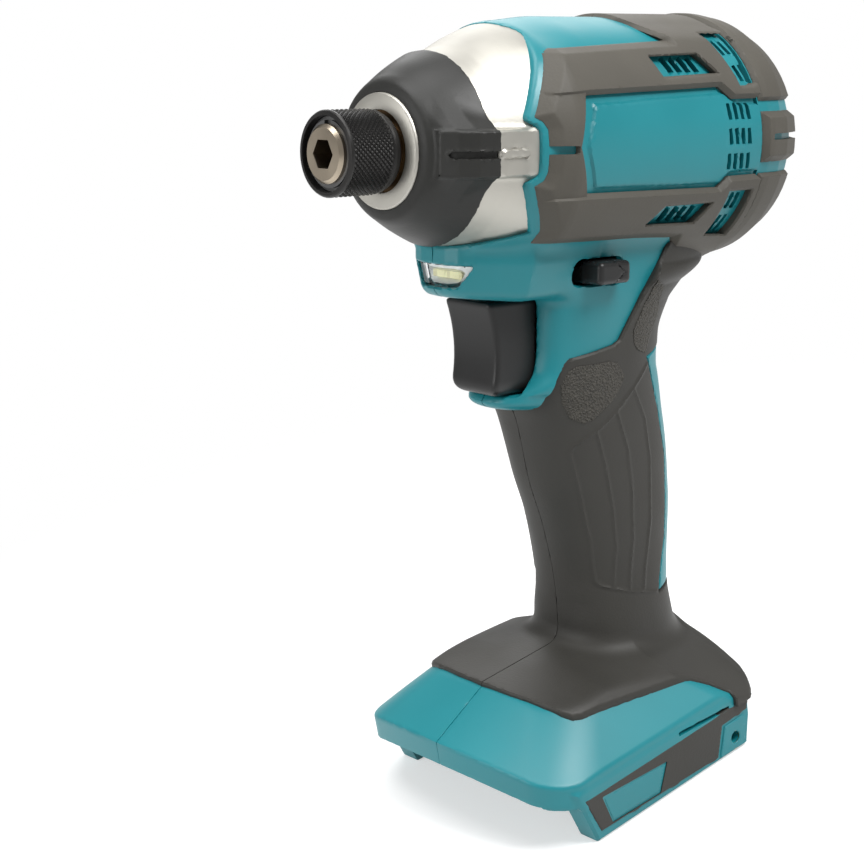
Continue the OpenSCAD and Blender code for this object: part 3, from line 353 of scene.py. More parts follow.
def head(p, grow=0.0):
    """The drum of the head, drawn in where its top meets the hammer case."""
    x, y, h = tipped(p)
    lobes = [[x0, r + 1.4 + grow] for x0, r in CONE]
    d = outline(x, np.hypot(y, h), [[HEAD_END, CORE], [HEAD_END, RAD + grow], [17.6, RAD + grow]] + lobes + [[33, CORE]])
    return d + 1.1 * smooth_step(20, 27, h) * smooth_step(4, 19, x)


def rear_form(p, grow=0.0):
    """The dome behind the motor."""
    x, y, h = tipped(p)
    return outline(x, np.hypot(y, h), [[-68.5, CORE], [-68.5, 17], [-66.6, 22.5], [-62.6, 27.6], [-56.5, 30.2], [-51, RAD],
                                       [COVER_END, RAD], [COVER_END, CORE]]) - grow


def skirts(p):
    """The foot's two side walls."""
    x, y, z = p[:, 0], np.abs(p[:, 1]), p[:, 2]
    side = outline(x, z, [[55.4, 16], [50, 0], [-7.4, 0], [-9.4, 8], [-9.8, 16]])
    d = bevel_max(side, y - SKIRT, 0.7)
    return both(d, 31.0 - y)


def back_wall(p):
    """The foot's wall behind the battery."""
    x, y, z = p[:, 0], np.abs(p[:, 1]), p[:, 2]
    d = outline(x, z, [[-7.5, 0], [-11, 0], [-13.4, 9], [-13.9, 20], [-7.5, 20]])
    return soft_max(d, y - 36.5 + np.maximum(-9 - x, 0) * 0.9, 3.0)


def foot_form(p):
    """The whole foot, without the bay of the battery."""
    d = soft_max(slab(p), 17.0 - crowned(p)[:, 2], 0.8)
    d = soft_min(soft_min(d, skirts(p), 1.0), back_wall(p), 1.0)
    return soft_max(d, dome(p) - 32.2, 0.8)


def housing(p):
    """The moulded housing with its bay, rails, hollows, openings and vents."""
    x, y, h = tipped(p)
    z = p[:, 2]
    base = handle(p)
    spine = bevel_max(base - 0.9, outline(p[:, 0], z, SPINE) + 0.35, 0.4)
    neck = either(soft_min(base, lip(x, y, h), 2.0), both(spine, h + 40))
    d = soft_min(head(p), both(neck, h + 12), 3.0)
    d = soft_min(d, both(lamp_nose(x, y, h), h + 22), 1.6)
    d = soft_max(d, outline(x, h, HOUSING_FRONT), 0.7)
    d = either(both(d, 24 - z), foot_form(p))
    d = less(d, both(-8 - p[:, 0], np.abs(y) - 31.9, crowned(p)[:, 2] - 17.6))
    hook = np.hypot(p[:, 0] + 2.6, z - 4.2) - 1.6
    slot = outline(p[:, 0], z, [[17.9, 15.5], [17.9, 14.4], [-1.7, 12.9], [-1.7, 14]])
    d = less(d, either(both(hook, 34.5 - np.abs(y)), both(slot, 36.8 - np.abs(y))))
    d = either(d, box(p[:, 0], np.abs(y), z, (-8, 28.3, 3.4), (46, 33, 6.6), 0.4))
    r = np.hypot(y, h)
    hollow = outline(x, r, [[-67, CORE], [-67, 28.8], [16.7, 28.8], [18.8, 28.6], [24.2, 27.5], [27.6, 26.1],
                            [33, 23.4], [38, 22.7], [60, 22.7], [60, CORE]])
    grip_hollow = both(base + 2.6, 40 - z, h + 16)
    d = less(d, either(hollow, grip_hollow))
    d = bevel_max(d, -box(x, y, h, (2, -8.9, -61.2), (62, 8.9, -36.7), 0.8), 0.4)
    d = bevel_max(d, -box(x, y, h, (-9.8, -THROUGH, -33.7), (7.4, THROUGH, -26.9), 3.0), 0.4)
    d = bevel_max(d, -lens_window(x, y, h), 0.5)
    d = less(d, rear_form(p, SKIN_GAP))
    plate = bevel_max(head(p, 0.6), outline(x, h, PLATE), 0.5)
    d = either(d, both(plate, 18 - np.abs(y), -head(p, -1.6)))
    return less(d, vents(x, y, h))


def slot_row(x, y, h, x0, h0, count, pitch, w, t, slant):
    """Slanted slots in a row, through both sides."""
    c, s = math.cos(math.radians(slant)), math.sin(math.radians(slant))
    rows = []
    for i in range(count):
        u, v = x - (x0 - i * pitch), h - h0
        rows.append(box(c * u - s * v, y, s * u + c * v, (-w / 2, -THROUGH, -t / 2), (w / 2, THROUGH, t / 2), 0.2))
    return both(either(*rows), 18 - np.abs(y))


# Rows of vents: place of the first slot, count, pitch, width, height and slant
VENTS = ((-35.2, 7.8, 4, 2.35, 1.3, 4.0, 5), (-35.2, 1.7, 4, 2.35, 1.3, 4.0, 5), (-35.0, -4.45, 4, 2.35, 1.3, 4.0, 5),
         (-18.4, 19.0, 4, 3.1, 2.0, 3.9, 22), (-17.0, -16.9, 4, 3.1, 2.0, 3.9, -22), (-39.3, 23.6, 3, 2.3, 1.3, 4.6, 14),
         (-41.2, 17.0, 3, 2.2, 1.3, 4.2, 14), (-37.9, -14.6, 3, 2.2, 1.3, 4.2, -6), (-37.3, -20.6, 3, 2.2, 1.3, 4.4, -6))


def vents(x, y, h):
    return either(*[slot_row(x, y, h, *row) for row in VENTS])


def half(field, side):
    """The part of a form on one side of the tool's middle."""
    return lambda p: both(field(p), SEAM - side * p[:, 1])


# Edges in the side view: the grip's top, the collar round the foot as seen from above, and the bare spine behind
GRIP_OUTLINE = [[60, -66.4], [13, -66.2], [11.4, -65], [10.4, -63.3], [5.9, -53.2], [4.7, -52], [-8.2, -49.5], [-10, -48.4],
                [-16, -37.1], [-25.2, -24.3], [-70, -24.2], [-70, -150], [60, -150]]
COLLAR = [[48.4, -20], [48.4, 0], [47.7, 10], [46, 20], [44.4, 25], [43, 27.1], [40.5, 28.2], [5.5, 32.6], [1, 34.6],
          [-3.4, 37.4], [-4, 60], [-60, 60], [-60, -20]]
SPINE = [[-9, 106], [-10.4, 102.5], [-13.4, 89.6], [-14.8, 76.2], [-12.7, 66], [-9.7, 54.2], [-4.8, 45], [-3.2, 41],
         [-60, 41], [-60, 106]]


# Raised lines of the grip's side panel, and the stippled patch under the thumb, in the side view
PANEL = [[[-9, 104], [-2.5, 99.7], [4.1, 95.7], [10.9, 92.2], [16.4, 90], [17.4, 88.6], [17.4, 87], [15.9, 76],
          [14.5, 63], [14.5, 50.5], [13.6, 49], [7.1, 45.6], [-2, 42]],
         [[10.9, 92.2], [9.1, 81.9], [8.2, 69.8], [8.6, 59], [11, 47.6]],
         [[4.2, 95.4], [1.5, 83.7], [1.5, 73], [3.3, 59.5], [7, 45.6]],
         [[-2.5, 99.4], [-5.9, 89.9], [-6.5, 78.9], [-3.8, 62.4], [2.7, 43.8]]]
THUMB = [[19.2, 106.9], [17.2, 110.4], [15, 111.2], [5.4, 109.6], [3, 108.4], [0.9, 104.4], [1.6, 102.4], [5.2, 99], [12, 95.6],
         [14.4, 95.4], [17.4, 97.6], [19, 102.3]]
THUMB_TOP = [[-3.3, 115.2], [-7.4, 121.1], [-11.2, 126.3], [-14.2, 124], [-13.8, 115.2], [-8, 107.2], [-4.6, 109.4], [-3.4, 111.6]]


def contour_lines(u, v):
    """Distance to the panel's lines in the side view."""
    best = np.full(u.shape, FAR)
    for line in PANEL:
        for (ax, ay), (bx, by) in zip(line, line[1:]):
            ex, ey = bx - ax, by - ay
            t = np.clip(((u - ax) * ex + (v - ay) * ey) / (ex * ex + ey * ey), 0.0, 1.0)
            best = either(best, np.hypot(u - ax - ex * t, v - ay - ey * t))
    return best


def thumb_patch(p):
    """A stippled island on the grip's skin."""
    edge = either(outline(p[:, 0], p[:, 2], THUMB), outline(p[:, 0], p[:, 2], THUMB_TOP))
    skin = handle(p) - SKIN
    return less(both(skin - 0.15, edge), skin + 0.5)


def grip(p):
    """The soft skin of the grip and the collar that drapes over the foot."""
    x, y, h = tipped(p)
    z = p[:, 2]
    base = handle(p)
    low, top = foot_form(p), dome(p)
    drape = soft_max(soft_max(low - 1.2, top - 33.4, 1.0), 12.9 - z, 0.5)
    drape = bevel_max(drape, outline(p[:, 0], np.abs(y), COLLAR), 0.4)
    skin = base - SKIN - 0.3 * np.exp(-(contour_lines(p[:, 0], z) / 0.42) ** 2)
    outer = soft_min(both(skin, 22 - z), drape, 4.5)
    inner = either(base + 0.5, both(low + 0.3, top - 31.9))
    d = less(outer, inner)
    d = bevel_max(d, outline(x, h, GRIP_OUTLINE), 0.5)
    d = less(d, head(p, SKIN_GAP))
    d = bevel_max(d, -outline(p[:, 0], z, SPINE), 0.4)
    return less(d, box(x, y, h, (1, -9.2, -62.4), (62, 9.2, -36.7), 0.8))


# Outlines on the head's side: the bare plate, the pads, and the pockets of the vents
PLATE = [[11.4, 10.8], [15.1, 0.9], [11.4, -9.0], [-33.2, -9.8], [-36, -7.2], [-60, -7], [-60, 9], [-38.6, 9.8], [-34.4, 12.4]]
PAD_TOP = [[60, 24.8], [15.4, 23.4], [-1.8, 24.2], [-23, 25.1], [-20.4, 26.5], [-18.7, 28], [-16.5, 30], [-16, 40],
           [-60, 40], [-60, 10.9], [-36.4, 10.9], [-32.8, 13.9], [13.7, 12.7], [22.5, 12.1], [60, 11.4]]
PAD_LOW = [[30, -9.5], [26.7, -10.1], [14.9, -9.9], [-32.2, -10.7], [-35.3, -8.1], [-60, -7.8], [-60, -40], [-34, -40],
           [-25, -23.4], [-11, -22.6], [22.8, -21.8], [25.4, -17]]
PAD_FRONT = [[60, 17], [11, 17], [13.4, 11.6], [16.6, 0.9], [13.2, -9.4], [11, -14], [60, -14]]
POCKETS = [[[-11.4, 21.3], [-29, 21.8], [-33.2, 17.2], [-13.4, 16.5]], [[-14.1, -14.6], [-31, -14.6], [-27.5, -19.5], [-9.8, -19]],
           [[-36.6, 26.8], [-46, 26.8], [-47.6, 15.4], [-44.6, 14.1], [-40.2, 14.1]],
           [[-36.4, -11.9], [-44.8, -11.9], [-44, -23.8], [-35.4, -23.2]]]


def head_pad(p):
    """The proud pads of the head, stopped short of the hammer case by a teal rim."""
    x, y, h = tipped(p)
    edge = outline(x, h, HOUSING_FRONT) + 1.5
    ramp = np.maximum(2.6 + edge, 0) * 0.75 + 1.3 * smooth_step(25, 29.5, h)
    proud = head(p, 2.2) + ramp
    top = bevel_max(proud, outline(x, h, PAD_TOP), 1.3)
    bottom = bevel_max(proud, outline(x, h, PAD_LOW), 1.3)
    front = bevel_max(head(p, 1.6) + ramp * 0.7, outline(x, h, PAD_FRONT), 1.8)
    d = both(either(top, bottom, front), edge)
    d = less(d, head(p, -0.7))
    for pocket in POCKETS:
        d = bevel_max(d, -outline(x, h, pocket), 0.5)
    d = less(d, box(x, y, h, (18.6, -THROUGH, -0.5), (60, THROUGH, 1.4), 0.6))
    return less(d, rear_form(p, SKIN_GAP))


def rear_cover(p):
    """The cup behind the motor, with the wells of its two screws."""
    x, y, h = tipped(p)
    r = np.hypot(y, h)
    d = rear_form(p)
    inner = outline(x, r, [[-66.3, CORE], [-66.3, 15], [-64.4, 20.1], [-61, 25.2], [-54, 28.8], [-40, 28.8], [-40, CORE]])
    d = less(d, inner)
    well = np.hypot(np.abs(y) - 15, h)
    d = either(d, both(well - 4.2, x + 62, -66.5 - x))
    d = less(d, both(well - 3.45, x + 66.1))
    d = less(d, both(well - 1.85, x + 50))
    return less(d, rear_slots(x, y, h))


def rear_slots(x, y, h):
    """Air slots across the end of the cover."""
    u = np.abs(h)
    d = either(np.abs(u - 3.2), np.abs(u - 7.0)) - 0.9
    return both(soft_max(d, np.abs(y) - 7.5, 0.8), x + 65, -70 - x)


def rear_skin(p, inside, proud=1.2, bevel=1.0):
    """Soft bumper over the rear cover where the given region lies."""
    return less(bevel_max(rear_form(p, proud), inside, bevel), rear_form(p, -0.6))


def rear_top(p):
    x, y, h = tipped(p)
    edge = soft_max(10.2 - h, x + 47.5, 0.4)
    return less(rear_skin(p, edge), both(np.abs(y) - 10, h - 12, x + 66))


def rear_bottom(p):
    x, _, h = tipped(p)
    return rear_skin(p, soft_max(h + 7.9, x + 47.5, 0.4))


def rear_side(p):
    x, y, h = tipped(p)
    up = np.abs(h - 1.2)
    d = rear_skin(p, both(up - 6.4, x + 47.7, 20 - np.abs(y)), 1.6, 1.6)
    return less(d, both(up - 0.8, x + 50.8))


# The bumper's radius and the rib's reach along the drive axis, and half the rib's height
BUMPER = [[38, 23.3], [41, 21.9], [44.5, 20.1], [48, 18.0], [49.8, 16.9], [50.8, 16.0], [51.5, 14.6]]
RIB = [[30, 27], [38, 27], [43.6, 25.6], [47, 22.6], [49.6, 18.6], [51, 15]]
RIB_HALF = 5.4


def side_rib(x, y, h, proud=0.0):
    """The ribs on the sides of the nose."""
    return bevel_max(np.abs(h) - RIB_HALF, (np.abs(y) - reach(x) - proud) * 0.85, 0.5)


def reach(x):
    return np.interp(x, *np.transpose(RIB))


def nose_bumper(p):
    """The rubber over the nose, with flats that run out of its ribs above and below."""
    x, y, h = tipped(p)
    r = np.hypot(y, h)
    size, = stations(x, BUMPER)
    d = soft_max((r - size) * 0.75, x - 51.5, 0.7)
    face = reach(x)
    flat = (np.abs(y) - face + 1.1 + 1.3 * np.maximum(np.abs(h) - RIB_HALF, 0.0)) * 0.58
    d = soft_min(d, soft_max(both(flat, np.abs(h) - 12), x - 49, 0.8), 1.2)
    d = soft_min(d, both(side_rib(x, y, h), x - 49.6), 0.5)
    up, along = np.abs(h + 0.1), np.abs(x - 43)
    rim = soft_max(up - 1.3, along - 5.9, 1.2)
    d = either(d, both(rim, np.abs(y) - face - 0.22, 15 - np.abs(y)))
    slot = soft_max(up - 0.8, along - 5.3, 0.8)
    d = less(d, both(slot, face - 1.2 - np.abs(y)))
    seat = outline(x, r, [[36, CORE], [36, 21.26], [38.24, 21.26], [49.26, 13.66], [53, 13.66], [53, CORE]])
    return soft_max(less(d, seat), 38.3 - x, 0.4)


def hammer_case(p):
    """The cast case, with a rib on each side and a rounded mark in a groove on it."""
    x, y, h = tipped(p)
    r = np.hypot(y, h)
    d = outline(x, r, [[-2.5, CORE], [-2.5, 28.5], [17, 28.5], [17, 29.55], [19, 29.4], [21.6, 28.6], [24.2, 27.7], [26, 27],
                       [27.6, 26.3], [30.2, 25.1], [33, 23.9], [35.4, 23.1], [38, 22.4], [38.2, 21.2], [49.2, 13.4], [51.4, 13.2],
                       [51.6, 13], [51.6, CORE]])
    d = soft_min(d, both(side_rib(x, y, h, -0.4), x - 38.2, 18 - x), 1.4)
    pill = np.hypot(x - np.clip(x, 30.2, 36.9), h)
    d = either(d, bevel_max(both(pill - 1.0, 20 - np.abs(y)), np.abs(y) - 27.2, 0.4))
    d = less(d, both(np.abs(pill - 1.2) - 0.2, 26.35 - np.abs(y)))
    hollow = outline(x, r, [[-4, CORE], [-4, 25], [24, 25], [29.5, 20.8], [35.2, 20.8], [35.2, 9.6], [54, 9.6], [54, CORE]])
    return less(d, hollow)


def trigger(p):
    """The trigger, hollowed for the finger."""
    x, y, h = tipped(p)
    z = h + RISE
    up = z - 121
    t = np.clip(up / 11.5, -1.2, 1.2)
    front = (x - 24.1 + 1.9 * (1 - t * t) - 0.06 * up) * 0.95
    d = soft_max(front, np.abs(y) - 8.4, 1.3)
    d = soft_max(soft_max(d, 109.4 - z, 4.5), z - 133.4, 1.4)
    return both(d, 9.45 - x)


def lever(p):
    """The reversing lever: grooved ends with a chevron, the bar between them and the arm of its pivot."""
    x, y, h = tipped(p)
    end = box(x, np.abs(y), h, (-7.2, 17.5, -33.1), (3.6, 25, -27.5), 1.3)
    bar = box(x, y, h, (-4.5, -19, -33.1), (3.4, 19, -29.2), 0.5)
    d = soft_min(end, bar, 0.8)
    for k in range(3):
        d = less(d, both(np.abs(np.abs(y) - 20.4 - 1.7 * k + (x + 2) * 0.25) - 0.3, -28.0 - h))
    chevron = np.abs((x + 3.4) * 0.7 - np.abs(h + 30.3) + 1.2) - 0.25
    d = less(d, both(chevron, 24.75 - np.abs(y), np.abs(x + 1.8) - 3.4))
    pivot = np.hypot(x + 12, y)
    arm = either(pivot - 4, box(x, y, h, (-12, -4, -40), (1, 4, -20)))
    d = either(d, both(arm, np.abs(h + 31.15) - 1.95))
    return less(d, pivot - 2.06)


def lens(p):
    x, y, h = tipped(p)
    nose = lamp_nose(x, y, h)
    return less(both(lens_window(x, y, h, -0.12), nose + 0.9), nose + 2.1)


def reflector(p):
    """Bright tray behind the lens, open in front."""
    x, y, h = tipped(p)
    nose = lamp_nose(x, y, h)
    d = both(lens_window(x, y, h, -0.12), nose + 2.3, 28.6 - x)
    return less(d, both(lens_window(x, y, h, -0.9) + np.maximum(32.6 - x, 0) * 0.55, 30.2 - x))


def lamp_chips(p):
    x, y, h = tipped(p)
    return box(x, np.abs(y), h, (29.9, 0.9, -31.1), (30.9, 4.2, -29.4), 0.15)


# Outlines on the foot's side
INSERT = [[53, 13.4], [48.8, 2.4], [4.4, 1.2], [1.6, 9.4], [-8.4, 9.8], [-9.4, 13.4]]
PLATE_LOW = [[46.6, 11.2], [23.8, 9.6], [27.2, 2.8], [44.4, 3.4]]


def foot_insert(p):
    """Soft insert in the skirt, with a seam across it."""
    x, y, z = p[:, 0], np.abs(p[:, 1]), p[:, 2]
    d = bevel_max(outline(x, z, INSERT) + 0.15, y - 38.6, 0.35)
    d = less(d, both(outline(x, z, PLATE_LOW) - 0.35, 37.9 - y))
    d = less(d, both(np.abs(x - 17.4) - 0.12, SKIRT - y))
    return both(d, 37.2 - y)


def foot_plate(p):
    """Bare raised plate in the insert."""
    x, y, z = p[:, 0], np.abs(p[:, 1]), p[:, 2]
    return both(bevel_max(outline(x, z, PLATE_LOW), y - 38.45, 0.3), 37.95 - y)


def hook_plate(p):
    """Flat round the hole of the belt hook's screw."""
    x, y, z = p[:, 0], np.abs(p[:, 1]), p[:, 2]
    d = bevel_max(outline(x, z, [[1.0, 9.0], [-7.0, 9.2], [-6.2, 0.7], [3.9, 0.9]]), y - 38.75, 0.3)
    d = bevel_max(d, 1.6 - np.hypot(x + 2.6, z - 4.2), 0.25)
    return both(d, 38.42 - y)


# Building and finishing pieces

FINISHES = {}
MM = 1000  # in a metre
# From the tool's own scale, in mm with the drive axis along X, to the standing frame in metres
TOOL = Matrix.Translation((HEAD_X / MM, 0, HEAD_Z / MM)) @ Matrix.Rotation(-LEAN, 4, "Y") @ Matrix.Scale(1 / MM, 4)


def build(name, field, lo, hi, cell, look, nodes=(), slot=None, body="body", sharp=32):
    """One piece from a form: its skin, its finish, the body that it rides on and the solids that it stands for."""
    points, faces = contour(field, lo, hi, cell)
    mesh = bpy.data.meshes.new(name)
    mesh.from_pydata((points / MM).tolist(), [], faces.tolist())
    mesh.validate()
    return dress(name, mesh, look, nodes, slot, body, sharp)


def dress(name, mesh, look, nodes=(), slot=None, body="body", sharp=32):
    """A mesh as a piece. The slot argument is not used."""
    slot = slot or look
    filled(mesh).shade_smooth()
    mesh.set_sharp_from_angle(angle=math.radians(sharp))
    mesh.materials.clear()
    mesh.materials.append(FINISHES[look])
    piece = bpy.data.objects.new(name, mesh)
    bpy.context.scene.collection.objects.link(piece)
    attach(piece, body)
    if nodes:
        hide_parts(*nodes)
    return piece


def filled(mesh):
    if len(mesh.polygons) == 0:
        raise RuntimeError(mesh.name + " came out empty")
    return mesh


def twins(near, far):
    """Name, side and span across the tool of a piece on the left and of its twin on the right."""
    return ("left", 1, near, far), ("right", -1, -far, -near)


def tube(rows, n, closed=False):
    """Faces between rows of n points each, round every row."""
    return [(i * n + j, i * n + (j + 1) % n, (i + 1) % rows * n + (j + 1) % n, (i + 1) % rows * n + j)
            for i in range(rows if closed else rows - 1) for j in range(n)]


def lathe(name, profile, count=96):
    """A ring turned about the drive axis from a closed profile of places and radii."""
    angles = np.arange(count) * 2 * math.pi / count
    points = [(x, r * math.cos(t), r * math.sin(t)) for t in angles for x, r in profile]
    return turned(name, points, tube(count, len(profile), True))


def turned(name, points, faces):
    """A mesh given in the drive's own axes, with its faces outward."""
    mesh = bpy.data.meshes.new(name)
    mesh.from_pydata(points, [], faces)
    bm = bmesh.new()
    bm.from_mesh(mesh)
    bmesh.ops.recalc_face_normals(bm, faces=bm.faces)
    bm.to_mesh(mesh)
    bm.free()
    mesh.transform(TOOL)
    return mesh


def coil(name, start, end, radius, wire, turns, count=40, sides=10):
    """A spring of round wire along the drive axis."""
    a = np.linspace(0, 2 * math.pi * turns, count * turns + 1)[:, None]
    b = (np.arange(sides) * 2 * math.pi / sides)[None, :]
    r = radius + wire * np.cos(b)
    x = np.linspace(start + wire, end - wire, len(a))[:, None] + wire * np.sin(b)
    points = np.stack([x, r * np.cos(a), r * np.sin(a)], -1).reshape(-1, 3)
    caps = [tuple(range(sides)), tuple(range(len(points) - sides, len(points)))]
    return turned(name, points.tolist(), tube(len(a), sides) + caps)


def joined(name, meshes):
    """Several meshes as one."""
    bm = bmesh.new()
    for m in meshes:
        bm.from_mesh(m)
        bpy.data.meshes.remove(m)
    mesh = bpy.data.meshes.new(name)
    bm.to_mesh(mesh)
    bm.free()
    return mesh


# Node trees

def node_tree(name, family, inputs, outputs):
    """A Geometry or Shader tree with named sockets: the tree, its inputs and its outputs."""
    tree = bpy.data.node_groups.new(name, family + "NodeTree")
    for label, kind, value in inputs:
        socket = tree.interface.new_socket(label, in_out="INPUT", socket_type="NodeSocket" + kind)
        if value is not None:
            socket.default_value = value
    for label, kind in outputs:
        tree.interface.new_socket(label, in_out="OUTPUT", socket_type="NodeSocket" + kind)
    return tree, tree.nodes.new("NodeGroupInput").outputs, tree.nodes.new("NodeGroupOutput").inputs


def add(tree, kind, values=(), **settings):
    """A node with its settings and the values or links of its sockets. A node as a value stands for its first output."""
    node = tree.nodes.new(kind)
    for key, value in settings.items():
        setattr(node, key, value)
    for key, value in dict(values).items():
        if isinstance(value, bpy.types.Node):
            value = value.outputs[0]
        if isinstance(value, bpy.types.NodeSocket):
            tree.links.new(value, node.inputs[key])
        else:
            node.inputs[key].default_value = value
    return node


def shade(tree, kind, values=(), **settings):
    return add(tree, "ShaderNode" + kind, values, **settings)


def geo(tree, kind, values=(), **settings):
    return add(tree, "GeometryNode" + kind, values, **settings)


def sums(tree, operation, *values):
    """A math node over the given values."""
    return shade(tree, "Math", dict(enumerate(values)), operation=operation)


def join(tree, *parts):
    node = geo(tree, "JoinGeometry")
    for part in parts:
        tree.links.new(part.outputs[0], node.inputs[0])
    return node


def lifted(tree, part, height):
    return geo(tree, "Transform", {"Geometry": part, "Translation": shade(tree, "CombineXYZ", {2: height})})


def painted(tree, spread, gin, gout):
    """Ends a tree with real geometry in place of instances, in the tree's material."""
    real = geo(tree, "RealizeInstances", {"Geometry": spread})
    done = geo(tree, "SetMaterial", {"Geometry": real, "Material": gin["Material"]})
    tree.links.new(done.outputs[0], gout["Geometry"])
    return tree


def grown(name, tree, values, points=()):
    """The plain mesh that a tree makes on a mesh of points."""
    start = bpy.data.meshes.new(name)
    start.from_pydata([tuple(v) for v in points], [], [])
    host = bpy.data.objects.new(name, start)
    bpy.context.scene.collection.objects.link(host)
    mod = host.modifiers.new(name, "NODES")
    mod.node_group = tree
    for item in tree.interface.items_tree:
        if item.item_type == "SOCKET" and item.in_out == "INPUT" and item.name in values:
            mod[item.identifier] = values[item.name]
    mesh = bpy.data.meshes.new_from_object(host.evaluated_get(bpy.context.evaluated_depsgraph_get()))
    host.modifiers.remove(mod)
    bpy.data.objects.remove(host)
    bpy.data.meshes.remove(start)
    return filled(mesh)


GEOMETRY_OUT = [("Geometry", "Geometry")]


def knurl_tree():
    """Staggered four-sided points round a cylinder along X."""
    t, gin, gout = node_tree("Diamond Knurl", "Geometry", [
        ("Rows", "Int", 12), ("Columns", "Int", 48), ("Start", "Float", 55.0), ("Length", "Float", 9.0),
        ("Radius", "Float", 9.6), ("Height", "Float", 0.4), ("Material", "Material", None)], GEOMETRY_OUT)
    grid = geo(t, "MeshGrid", {"Vertices X": gin["Rows"], "Vertices Y": gin["Columns"]})
    index = geo(t, "InputIndex")
    row = sums(t, "FLOOR", sums(t, "DIVIDE", index, gin["Columns"]))
    shift = sums(t, "MULTIPLY", sums(t, "MODULO", row, 2.0), 0.5)
    turn = sums(t, "DIVIDE", sums(t, "MULTIPLY", sums(t, "ADD", index, shift), 2 * math.pi), gin["Columns"])
    pitch = sums(t, "DIVIDE", gin["Length"], sums(t, "SUBTRACT", gin["Rows"], 1.0))
    place = shade(t, "CombineXYZ", {0: sums(t, "ADD", gin["Start"], sums(t, "MULTIPLY", row, pitch)),
                                    1: sums(t, "MULTIPLY", gin["Radius"], sums(t, "COSINE", turn)),
                                    2: sums(t, "MULTIPLY", gin["Radius"], sums(t, "SINE", turn))})
    ring = geo(t, "SetPosition", {"Geometry": grid, "Position": place})
    point = geo(t, "MeshCone", {"Vertices": 4, "Radius Top": 0.22, "Radius Bottom": 1.0, "Depth": 1.0})
    wide = sums(t, "DIVIDE", sums(t, "MULTIPLY", gin["Radius"], math.pi), gin["Columns"])
    roll = shade(t, "CombineXYZ", {0: sums(t, "SUBTRACT", turn, math.pi / 2)})
    face = add(t, "FunctionNodeEulerToRotation", {0: roll})
    size = shade(t, "CombineXYZ", {0: pitch, 1: wide, 2: gin["Height"]})
    spread = geo(t, "InstanceOnPoints", {"Points": ring, "Instance": point, "Rotation": face, "Scale": size})
    return painted(t, spread, gin, gout)


def screw_tree():
    """Screws with a six-pointed socket, at the points of a mesh."""
    t, gin, gout = node_tree("Socket Screws", "Geometry", [
        ("Geometry", "Geometry", None), ("Turn", "Rotation", None), ("Shank", "Float", 16.0),
        ("Head Radius", "Float", 3.2), ("Head Height", "Float", 2.2), ("Material", "Material", None)], GEOMETRY_OUT)
    head = geo(t, "MeshCylinder", {"Vertices": 40, "Radius": gin["Head Radius"], "Depth": gin["Head Height"]})
    head = lifted(t, head, sums(t, "MULTIPLY", gin["Head Height"], 0.5))
    star = geo(t, "CurveStar", {"Points": 6, "Inner Radius": 1.15, "Outer Radius": 1.6})
    fill = geo(t, "FillCurve", {"Curve": star})
    prism = geo(t, "ExtrudeMesh", {"Mesh": fill, "Offset Scale": 3.0})
    closed = join(t, geo(t, "FlipFaces", {"Mesh": fill}), prism)
    sunk = lifted(t, geo(t, "MergeByDistance", {"Geometry": closed, "Distance": 0.001}), 0.7)
    cut = geo(t, "MeshBoolean", {"Mesh 1": head, "Mesh 2": sunk}, operation="DIFFERENCE")
    shank = geo(t, "MeshCylinder", {"Vertices": 24, "Radius": 1.7, "Depth": gin["Shank"]})
    shank = lifted(t, shank, sums(t, "MULTIPLY", gin["Shank"], -0.5))
    screw = join(t, shank, cut)
    spread = geo(t, "InstanceOnPoints", {"Points": gin["Geometry"], "Instance": screw, "Rotation": gin["Turn"]})
    return painted(t, spread, gin, gout)


def texture_group(name, inputs, wire):
    """A texture with a height for the bump and a slow drift for the colour and the gloss."""
    t, gin, gout = node_tree(name, "Shader", inputs, [("Height", "Float"), ("Drift", "Float")])
    place = shade(t, "TexCoord").outputs["Object"]
    t.links.new(wire(t, place, gin).outputs[0], gout["Height"])
    slow = shade(t, "TexNoise", {"Vector": place, "Scale": gin["Drift Scale"], "Detail": 4.0})
    spread = shade(t, "MapRange", {"Value": slow, "From Min": 0.3, "From Max": 0.7})
    t.links.new(spread.outputs[0], gout["Drift"])
    return t


def grain_group():
    """Fine moulded grain."""
    def wire(t, place, gin):
        fine = shade(t, "TexNoise", {"Vector": place, "Scale": gin["Grain Scale"], "Detail": 3.0})
        pits = shade(t, "TexVoronoi", {"Vector": place, "Scale": gin["Grain Scale"]}, feature="F1")
        return shade(t, "Mix", {0: gin["Pits"], 2: fine, 3: pits})
    inputs = [("Grain Scale", "Float", 1500.0), ("Drift Scale", "Float", 40.0), ("Pits", "Float", 0.4)]
    return texture_group("Moulded Grain", inputs, wire)


def machined_group():
    """Fine turned lines round the drive axis."""
    def wire(t, place, gin):
        turn = shade(t, "Mapping", {"Vector": place, "Rotation": (0.0, LEAN, 0.0)})
        long = shade(t, "Mapping", {"Vector": turn, "Scale": gin["Line Scale"]})
        return shade(t, "TexNoise", {"Vector": long, "Scale": 1.0, "Detail": 4.0})
    inputs = [("Line Scale", "Vector", (6000.0, 150.0, 150.0)), ("Drift Scale", "Float", 60.0)]
    return texture_group("Machined Lines", inputs, wire)


def blank_tree(owner):
    owner.use_nodes = True
    owner.node_tree.nodes.clear()
    return owner.node_tree


